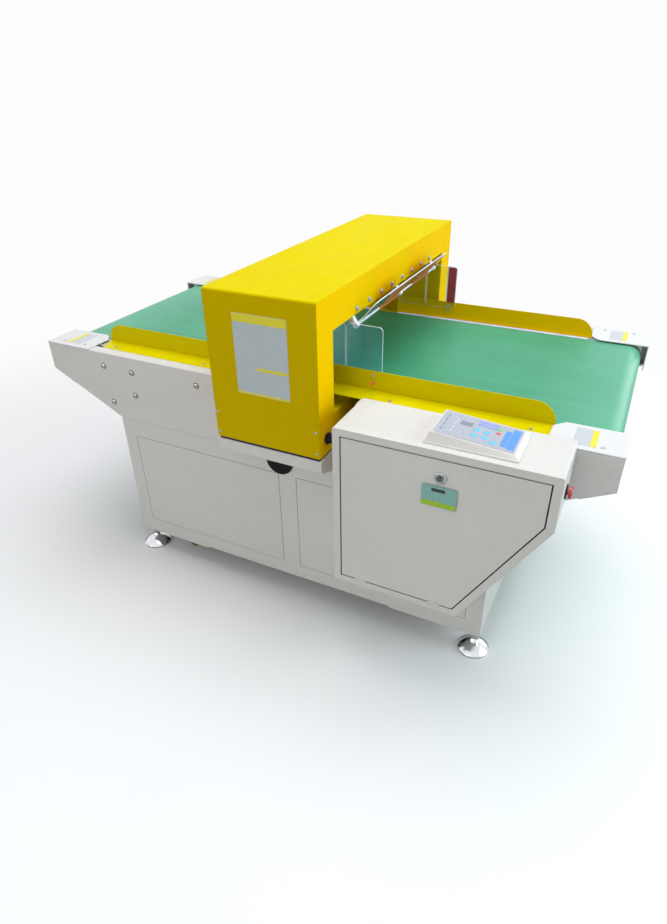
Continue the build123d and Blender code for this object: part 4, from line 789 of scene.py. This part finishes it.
def add_piece(name, maker, material, body, smooth_corners=0):
    """Turns the mesh into a piece on that body; faces of up to that many corners shade smooth."""
    mesh = bpy.data.meshes.new(name)
    maker.to_mesh(mesh)
    maker.free()
    mesh.materials.append(material)
    for polygon in mesh.polygons:
        polygon.use_smooth = len(polygon.vertices) <= smooth_corners
    made = bpy.data.objects.new(name, mesh)
    bpy.context.scene.collection.objects.link(made)
    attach(made, body)
    return made


print("piece helpers ready")

# %% [markdown]
# Films, plates, chips and key domes are all rounded slabs that lie on a surface. Each could be a
# bevelled cube, but a modifier per piece is slow to set up, so one helper builds them point by
# point: it draws a rounded rectangle in a plane given by its centre and two directions, lifts it
# by its thickness, and narrows the top edge so that the light shows it as a separate layer.

# %% Helper for thin slabs
corner_steps, edge_share, crown_share = 6, 0.25, 0.55


def rounded_outline(half_width, half_height, corner, shrink):
    """Points of a rounded rectangle, its corners' radius made smaller by shrink."""
    radius = max(corner - shrink, 0)
    for quarter, (sx, sy) in enumerate(((1, 1), (-1, 1), (-1, -1), (1, -1))):
        for step in range(corner_steps + 1):
            angle = math.pi / 2 * (quarter + step / corner_steps)
            yield (sx * (half_width - corner) + radius * math.cos(angle),
                   sy * (half_height - corner) + radius * math.sin(angle))


def slab(name, centre, along, upward, size, corner, thickness, material, body, crown=0.0):
    """A rounded slab standing on its centre's plane; crown lifts its middle into a dome."""
    centre = Vector(centre)
    along, upward = Vector(along).normalized(), Vector(upward).normalized()
    outward = along.cross(upward)
    half_width, half_height = size[0] / 2, size[1] / 2
    corner = min(corner, half_width * 0.999, half_height * 0.999)
    inset = min(thickness * edge_share, corner * 0.5, min(half_width, half_height) * 0.3)
    maker = bmesh.new()
    rings = [[maker.verts.new(centre + along * x + upward * y + outward * lift)
              for x, y in rounded_outline(half_width, half_height, corner, shrink)]
             for lift, shrink in ((0.0, 0.0), (thickness - inset, 0.0), (thickness, inset))]
    for low_ring, high_ring in zip(rings, rings[1:]):
        bridge(maker, low_ring, high_ring)
    top = rings[-1]
    if crown:
        top = [maker.verts.new(centre + outward * (thickness + crown)
                               + (point.co - centre - outward * thickness) * crown_share)
               for point in rings[-1]]
        bridge(maker, rings[-1], top)
    maker.faces.new(top)
    maker.faces.new(list(reversed(rings[0])))
    return add_piece(name, maker, material, body, len(top) if crown else 0)


print("slab helper ready")

# %% [markdown]
# Plates and keypads are inked polyester film: even colour under a slightly uneven gloss. One
# image could carry all the colours, but its edges would blur close up, so each colour is a thin
# slab of its own. Its surface is a base colour that barely varies, under a weak clear coat.

# %% Printed film
def film(name, colour, roughness=0.3, sheen=0.15, gloss=0.5):
    printed = Finish(name, colour, roughness)
    printed.set("Specular IOR Level", gloss)
    printed.set("Coat Weight", sheen)
    printed.set("Coat Roughness", 0.15)
    faded = tuple(min(1.0, v * 1.03 + 0.005) for v in colour)
    deep = tuple(v * 0.97 for v in colour)
    ink = printed.ranged(printed.noise(scale=120.0, detail=4.0), 0.0, 1.0)
    return printed.use(
        Base_Color=printed.mixed(ink, deep, faded),
        Roughness=printed.ranged(printed.noise(scale=60.0), roughness - 0.06, roughness + 0.1),
        Normal=printed.bump(printed.noise(scale=30.0, detail=1.0), depth=0.0002, strength=0.15),
    )


silver_film = film("silver_film", (0.50, 0.56, 0.575), 0.35)
yellow_film = film("yellow_film", (0.78, 0.70, 0.02), 0.35)
lime_film = film("lime_film", (0.36, 0.58, 0.01), 0.35)
aqua_film = film("pale_aqua_film", (0.24, 0.48, 0.42), 0.3)
dark_film = film("dark_window_film", (0.012, 0.02, 0.012), 0.12, sheen=0.6)
white_film = film("white_film", (0.53, 0.56, 0.60), 0.3)
print("films:", ", ".join(m.name for m in bpy.data.materials if m.name.endswith("_film")))

# %% [markdown]
# The operator's side of the head carries a large plate: a silver film with a yellow band across
# its top, a short bar in the lower half and a strip at the foot. All four could be one mesh with
# four materials, but separate films are simpler to place. They are stacked by their own
# thickness, so no two of them share a plane and flicker.

# %% Plate on the head
side_x, across_y, up_z = (1, 0, 0), (0, 1, 0), (0, 0, 1)
head_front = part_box("head_upper_housing")[0].y
film_sheet = 0.0004
plate_width, plate_height, plate_margin = 0.146, 0.203, 0.001
plate_middle = Vector((0.001, head_front, 0.8095))
band_height, bar_height, foot_height = 0.020, 0.007, 0.005
bar_place, bar_width = (0.028, -0.031), 0.084
strip_width = plate_width - 2 * plate_margin
slab("head_plate", plate_middle, side_x, up_z, (plate_width, plate_height), 0.004, film_sheet,
     silver_film, "machine")
for part, along, height, size in (
        ("band", 0, (plate_height - band_height) / 2 - plate_margin, (strip_width, band_height)),
        ("bar", *bar_place, (bar_width, bar_height)),
        ("foot", 0, -(plate_height - foot_height) / 2 + plate_margin, (strip_width, foot_height))):
    slab(f"head_plate_{part}", plate_middle + Vector((along, -film_sheet, height)), side_x, up_z,
         size, 0.002, film_sheet, yellow_film, "machine")
print("head plate at", [round(v, 3) for v in plate_middle])

# %% [markdown]
# Below the lock the door has a small aqua plate with a dark window and a lime strip along its
# foot. It could be parented to the door, but riding on the door's body does the same and also
# holds in the simulation: the plate swings down with the door.

# %% Plate on the door
door_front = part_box("box_shell")[0].y
door_plate, door_plate_size = Vector((0.476, door_front, 0.6065)), (0.078, 0.052)
slab("door_plate", door_plate, side_x, up_z, door_plate_size, 0.002, film_sheet, aqua_film,
     "door")
for part, along, height, size, ink in (
        ("strip", 0.0, -0.0190, (0.076, 0.012), lime_film),
        ("window", -0.002, 0.0165, (0.030, 0.008), dark_film)):
    slab(f"door_plate_{part}", door_plate + Vector((along, -film_sheet, height)), side_x, up_z,
         size, 0.001, film_sheet, ink, "door")
print("door front at y", round(door_front, 4))

# %% [markdown]
# Each end cap has a narrow film between its two screws: white, with a yellow block towards the
# outer end. Four copies could be placed one by one, but the caps mirror each other, so two loops
# over the signs place them all and stay right if a size changes.

# %% Films on the end caps
cap_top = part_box("end_caps_a")[1].z
cap_centre, cap_offset = 0.727, 0.338
cap_film_run, cap_film_width, cap_stripe_run = 0.048, 0.079, 0.013
machine_ends, machine_sides = (("a", 1), ("b", -1)), (("front", -1), ("rear", 1))
for end_name, end_sign in machine_ends:
    for side_name, side_sign in machine_sides:
        spot = Vector((end_sign * cap_centre, belt_middle + side_sign * cap_offset, cap_top))
        slab(f"cap_film_{side_name}_{end_name}", spot, side_x, across_y,
             (cap_film_run, cap_film_width), 0.002, film_sheet, white_film, "machine")
        outward = end_sign * (cap_film_run - cap_stripe_run) / 2
        slab(f"cap_stripe_{side_name}_{end_name}", spot + Vector((outward, 0, film_sheet)),
             side_x, across_y, (cap_stripe_run, cap_film_width - 2 * plate_margin), 0.001,
             film_sheet, yellow_film, "machine")
print("cap films at height", round(cap_top, 4))

# %% [markdown]
# The keypad is a membrane on a sloped console. Its plain CAD sheet is replaced by a printed one.
# The slope could be typed as an angle, but it is read from the CAD sheet's own box here, so the
# new sheet lies on the console whatever its size. A helper then places inked fields and keys by
# their share of the sheet's half length and half width.

# %% Keypad sheet
pad_low, pad_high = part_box("keypad")
pad_sheet, pad_play = 0.0008, 0.0005
pad_run = pad_high.x - pad_low.x
pad_fall = pad_high.z - pad_low.z - pad_sheet
down_slope = Vector((pad_run, 0, -pad_fall)).normalized()
pad_out = Vector((pad_fall, 0, pad_run)).normalized()
pad_centre = (pad_low + pad_high) / 2 - pad_out * pad_sheet / 2
pad_length, pad_width = math.hypot(pad_run, pad_fall), pad_high.y - pad_low.y
grey_print = film("keypad_grey_print", (0.40, 0.43, 0.50), 0.28, 0.3)
pad_base = slab("keypad_sheet", pad_centre, down_slope, across_y,
                (pad_length - pad_play, pad_width), 0.003, pad_sheet, grey_print, "machine")
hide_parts("keypad")


def on_pad(name, along, across, length, width, corner, thickness, material, crown=0.0):
    """A slab on the keypad; along and across are shares of its half length and half width."""
    centre = (pad_centre + down_slope * along * pad_length / 2
              + Vector((0, across * pad_width / 2, 0)) + pad_out * pad_sheet)
    return slab(name, centre, down_slope, across_y, (length, width), corner, thickness,
                material, "machine", crown)


print("keypad", round(pad_length, 4), "by", round(pad_width, 4))

# %% [markdown]
# The print on the keypad is a dark display window with a scale beside it, short rules at the high
# end, two rows of indicator cells and a stepped blue panel at the low end. All of it is ink, so
# the slabs are only a third of a millimetre thick.

# %% Keypad print
print_sheet = 0.0003
blue_print = film("keypad_blue_print", (0.07, 0.29, 0.80), 0.28, 0.3)
display_print = film("keypad_display_print", (0.20, 0.23, 0.29), 0.2, 0.5)
cell_blue = film("keypad_cell_blue", (0.20, 0.30, 0.80), 0.3, 0.3)
pale_line = film("keypad_pale_line", (0.62, 0.66, 0.72), 0.3, 0.3)
on_pad("keypad_blue_panel", 0.86, 0.02, pad_length * 0.095, pad_width * 0.84, 0.002,
       print_sheet, blue_print)
on_pad("keypad_blue_step", 0.68, -0.06, pad_length * 0.075, pad_width * 0.66, 0.002,
       print_sheet, blue_print)
on_pad("keypad_display", -0.36, 0.30, 0.026, 0.017, 0.0015, print_sheet, display_print)
for row in range(4):
    on_pad(f"keypad_scale_{row}", -0.62, -0.55 + 0.34 * row, 0.002, 0.012, 0.0006,
           print_sheet, pale_line)
    on_pad(f"keypad_rule_{row}", -0.86, -0.60 + 0.4 * row, 0.0012, 0.014, 0.0005,
           print_sheet, dark_film)
cell_columns, cell_rows = 6, 2
for column in range(cell_columns):
    for row in range(cell_rows):
        on_pad(f"keypad_cell_{column}_{row}", -0.06 + 0.085 * column, 0.50 + 0.26 * row,
               0.0058, 0.0085, 0.001, print_sheet, cell_blue)
print("indicator cells:", cell_columns * cell_rows)

# %% [markdown]
# Five cyan keys, a green one and a red one are domed so that a finger finds them. A sculpted dome
# isn't needed at this size: a slab with a crown lifts its middle by less than a millimetre, and
# smooth shading does the rest.

# %% Keys
key_length, key_width, key_corner, round_key = 0.014, 0.012, 0.0035, 0.010
key_sheet, key_crown = 0.0006, 0.0008
cyan_key = film("keypad_cyan_key", (0.10, 0.52, 0.85), 0.25, 0.4)
green_key = film("keypad_green_key", (0.08, 0.62, 0.10), 0.25, 0.4)
red_key = film("keypad_red_key", (0.75, 0.04, 0.05), 0.25, 0.4)
key_places = ((-0.06, 0.02), (0.20, 0.02), (-0.06, -0.46), (0.20, -0.46), (0.42, -0.66))
for number, (along, across) in enumerate(key_places):
    on_pad(f"keypad_key_{number}", along, across, key_length, key_width, key_corner, key_sheet,
           cyan_key, key_crown)
for name, across, key_film in (("start", 0.52, green_key), ("stop", 0.20, red_key)):
    on_pad(f"keypad_{name}", 0.45, across, round_key, round_key, round_key / 2, key_sheet,
           key_film, key_crown)
print("keys:", len(key_places) + 2)

# %% [markdown]
# With the door down, the mounting plate shows, and a bare board would give it away as a block.
# So its board gets chips, capacitors and a terminal strip, and the supply gets vents and
# terminals. Real parts have legs and solder, but at arm's length their outlines are enough: all
# are slabs that stand on the front of what carries them and look out of the box.

# %% Circuit parts on the board and the supply
electronics_low, electronics_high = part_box("control_electronics")
plate_edge_x, plate_foot_z = electronics_low.x, electronics_low.z
plate_depth, board_depth = 0.011, 0.014
plate_front_y = electronics_high.y - plate_depth
board_front_y, supply_front_y = plate_front_y - board_depth, electronics_low.y
chip_black = moulded("chip_epoxy", (0.016, 0.016, 0.018), 0.5, 500.0, 0.00005)
terminal_green = moulded("terminal_green", (0.02, 0.30, 0.12), 0.4, 500.0, 0.00005)
can_metal = zinc_plate("capacitor_can", (0.70, 0.71, 0.72), (0.55, 0.56, 0.57))
screw_head = 0.006


def fitting(name, front_y, along, height, size, depth, material, corner=0.001):
    """A slab on the plane front_y; along and height run from the plate's lower left corner."""
    spot = (plate_edge_x + along, front_y, plate_foot_z + height)
    slab(name, spot, side_x, up_z, size, corner, depth, material, "machine")


def terminal(kind, number, front_y, along, height, size, depth, material):
    """A terminal block with a round screw head on its face."""
    fitting(f"{kind}_{number}", front_y, along, height, size, depth, material)
    fitting(f"{kind}_screw_{number}", front_y - depth, along, height, (screw_head, screw_head),
            0.0008, can_metal, screw_head / 2)


for number, (along, height, wide, tall) in enumerate((
        (0.045, 0.335, 0.026, 0.026), (0.085, 0.345, 0.020, 0.010), (0.085, 0.322, 0.020, 0.010),
        (0.118, 0.335, 0.016, 0.016), (0.150, 0.345, 0.012, 0.008), (0.150, 0.325, 0.012, 0.008))):
    fitting(f"board_chip_{number}", board_front_y, along, height, (wide, tall), 0.0025, chip_black)
for number in range(5):
    fitting(f"board_capacitor_{number}", board_front_y, 0.030 + 0.020 * number, 0.293,
            (0.012, 0.012), 0.016, can_metal, 0.006)
for number in range(8):
    terminal("board_terminal", number, board_front_y, 0.022 + 0.0185 * number, 0.264,
             (0.017, 0.014), 0.011, terminal_green)
for number in range(9):
    fitting(f"supply_vent_{number}", supply_front_y, 0.063, 0.075 + 0.009 * number,
            (0.070, 0.0035), 0.0003, chip_black)
for number in range(6):
    terminal("supply_terminal", number, supply_front_y, 0.028 + 0.014 * number, 0.024,
             (0.012, 0.016), 0.008, chip_black)
print("circuit parts on the plate at y", round(plate_front_y, 4))

# %% [markdown]
# Beside the board and the supply, two contactors are clipped on a rail, and a slotted duct takes
# the wires up the plate's edge. The duct's slots could be cut with a Boolean, but thin black slabs
# on its cover read the same and keep the mesh clean.

# %% Contactors and duct
contact_grey = moulded("contactor_shell", (0.55, 0.55, 0.53), 0.45, 500.0, 0.00005)
duct_grey = moulded("duct_grey", (0.38, 0.40, 0.42), 0.5, 500.0, 0.00005)
rail_depth, body_depth, duct_depth = 0.005, 0.030, 0.030
contactor_height, duct_along = 0.150, 0.245
fitting("rail_bar", plate_front_y, 0.180, contactor_height, (0.090, 0.035), rail_depth, can_metal)
for number in range(2):
    along = 0.158 + 0.046 * number
    fitting(f"contactor_body_{number}", plate_front_y - rail_depth, along, contactor_height,
            (0.042, 0.074), body_depth, contact_grey, 0.002)
    fitting(f"contactor_face_{number}", plate_front_y - rail_depth - body_depth, along,
            contactor_height, (0.042, 0.036), 0.010, chip_black, 0.002)
fitting("duct_cover", plate_front_y, duct_along, 0.190, (0.024, 0.340), duct_depth, duct_grey,
        0.002)
for number in range(20):
    fitting(f"duct_slot_{number}", plate_front_y - duct_depth, duct_along,
            0.038 + 0.016 * number, (0.018, 0.004), 0.0003, chip_black)
print("duct from", duct_along, "m along the plate")

# %% [markdown]
# Strips of brown protective paper are still on the flap, one on each side of its middle clip, and
# a red-brown one on both faces of the outer shield at the far side. They could be painted on by
# a mask, as on the sleeve, but paper on flat sheet has an edge of its own, so these are very thin
# slabs. The flap's own papers ride on the flap and swing with it.

# %% Protective film on the clear sheets
brown_film = film("kraft_film", (0.50, 0.17, 0.06), 0.7, sheen=0.0, gloss=0.02)
crimson_film = film("crimson_film", (0.40, 0.055, 0.055), 0.5, sheen=0.0, gloss=0.2)
flap_up = Vector((flap_run, 0, flap_rise)).normalized()
flap_out = Vector((flap_rise, 0, -flap_run)).normalized()
flap_sheet, shield_sheet, paper_sheet = 0.0025, 0.003, 0.0002
paper_low, paper_high = 0.007, flap_length - 0.003
for number, (start, stop) in enumerate(paper_stretches):
    centre = Vector((flap_axis.x, (start + stop) / 2, flap_axis.z))
    centre += flap_up * (paper_low + paper_high) / 2 + flap_out * flap_sheet / 2
    slab(f"flap_paper_{number}", centre, across_y, flap_up, (stop - start, paper_high - paper_low),
         0.002, paper_sheet, brown_film, "flap")
shield_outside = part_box("side_shields")[1].y
shield_film_x, shield_film_z, shield_film_size = 0.219, 0.800, (0.025, 0.108)
for face_name, face_y, along in (("inner", shield_outside - shield_sheet, 1),
                                 ("outer", shield_outside, -1)):
    slab(f"shield_film_{face_name}", (shield_film_x, face_y, shield_film_z), (along, 0, 0), up_z,
         shield_film_size, 0.002, paper_sheet, crimson_film, "machine")
print("flap leans", round(math.degrees(math.atan2(flap_rise, flap_run))), "degrees")

# %% [markdown]
# A pale plastic strip lies on the bed along each edge of the belt, so that cartons which ride at
# the side don't rub on bare steel. It is translucent, and a weak emission of the same lilac is
# painted light that keeps it bright where the flap and the guides shade it. Subsurface scattering
# would have rendered slowly.

# %% Belt edge strips
strip_plastic = moulded("lilac_strip", (0.72, 0.74, 0.95), 0.35, 800.0, 0.00008)
strip_shader = strip_plastic.node_tree.nodes["Principled BSDF"].inputs
# The glow below is painted light: the strip is no lamp.
strip_shader["Emission Color"].default_value = (0.55, 0.60, 1.0, 1)
strip_shader["Emission Strength"].default_value = 0.22
bed_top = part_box("slider_beds")[1].z
strip_start, strip_end, strip_from_middle = 0.045, 0.646, 0.2954
strip_wide, strip_tall = 0.0094, 0.0045
for end_name, end_sign in machine_ends:
    for side_name, side_sign in machine_sides:
        spot = (end_sign * (strip_start + strip_end) / 2,
                belt_middle + side_sign * strip_from_middle, bed_top)
        slab(f"edge_strip_{side_name}_{end_name}", spot, side_x, across_y,
             (strip_end - strip_start, strip_wide), 0.001, strip_tall, strip_plastic, "machine")
print("strips", round(strip_end - strip_start, 3), "m long")

# %% [markdown]
# The round bolts over the tunnel's mouth wear polished caps, which are half ellipsoids. A UV
# sphere could be squashed and cut in half, but its foot would be open. So the cap is built from
# rings of points that shrink as they rise, with a fan at the tip and one flat face at the foot.

# %% Bolt caps
def dome(name, centre, outward, radius, height, material, body):
    """A half ellipsoid that stands on its centre and looks outward."""
    centre, outward = Vector(centre), Vector(outward)
    along = outward.orthogonal().normalized()
    upward = outward.cross(along)
    turns, levels = 20, 6
    circle = [along * math.cos(math.tau * i / turns) + upward * math.sin(math.tau * i / turns)
              for i in range(turns)]
    maker = bmesh.new()
    rings = []
    for level in range(levels):
        lift = math.pi / 2 * level / levels
        middle = centre + outward * height * math.sin(lift)
        rings.append([maker.verts.new(middle + point * radius * math.cos(lift))
                      for point in circle])
    tip = maker.verts.new(centre + outward * height)
    for low_ring, high_ring in zip(rings, rings[1:]):
        bridge(maker, low_ring, high_ring)
    for i in range(turns):
        maker.faces.new((rings[-1][i], rings[-1][(i + 1) % turns], tip))
    maker.faces.new(list(reversed(rings[0])))
    return add_piece(name, maker, material, body, smooth_corners=4)


bolt_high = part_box("head_fasteners")[1]
bolt_height, bolt_radius, bolt_pitch, bolt_count = 0.0045, 0.005, 0.076, 8
bolt_face_x, bolt_level = bolt_high.x - bolt_height, bolt_high.z - bolt_radius
cap_radius, cap_height = 0.0068, 0.0052
# The caps' bluish grey is painted reflection of the sky, in place of a polished steel mirror.
cap_steel = moulded("polished_cap_steel", (0.42, 0.42, 0.56), 0.3, 300.0, 0.00005, coat=0.5)
for index in range(bolt_count):
    across = belt_middle + bolt_pitch * (index - (bolt_count - 1) / 2)
    dome(f"head_bolt_cap_{index}", (bolt_face_x, across, bolt_level), side_x, cap_radius,
         cap_height, cap_steel, "machine")
print("bolt caps from y", round(belt_middle - bolt_pitch * (bolt_count - 1) / 2, 3))

# %% [markdown]
# A red lamp shows in the outer end of each sensor's barrel, and a dark window lies low on the
# inside of the front guide. A lamp could be a small sphere, but a slab with a high crown and a
# corner as large as its half width is a small dome too, so the same helper makes both.

# %% Sensor lamps and window
eye_low, eye_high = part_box("photo_eyes")
eye_x, lens_height = 0.213, 0.716
lens_size, lens_thickness, lens_crown = (0.0066, 0.0096), 0.0006, 0.0014
red_lens = film("red_lamp_lens", (0.70, 0.02, 0.015), 0.15, sheen=0.6)
lens_shader = red_lens.node_tree.nodes["Principled BSDF"].inputs
lens_shader["Emission Color"].default_value = (0.8, 0.02, 0.01, 1)
lens_shader["Emission Strength"].default_value = 0.5
for lamp_name, lamp_y, along in (("front", eye_low.y, 1), ("rear", eye_high.y, -1)):
    slab(f"sensor_lamp_{lamp_name}", (eye_x, lamp_y, lens_height), (along, 0, 0), up_z,
         lens_size, lens_size[0] / 2, lens_thickness, red_lens, "machine",
         lens_crown)
guide_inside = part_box("guide_front_a")[1].y
window_place, window_size, window_sheet = (0.171, guide_inside, 0.7005), (0.050, 0.009), 0.0006
slab("sensor_window", window_place, (-1, 0, 0), up_z, window_size, 0.001, window_sheet,
     dark_film, "machine")
print("sensor lamps at x", eye_x)
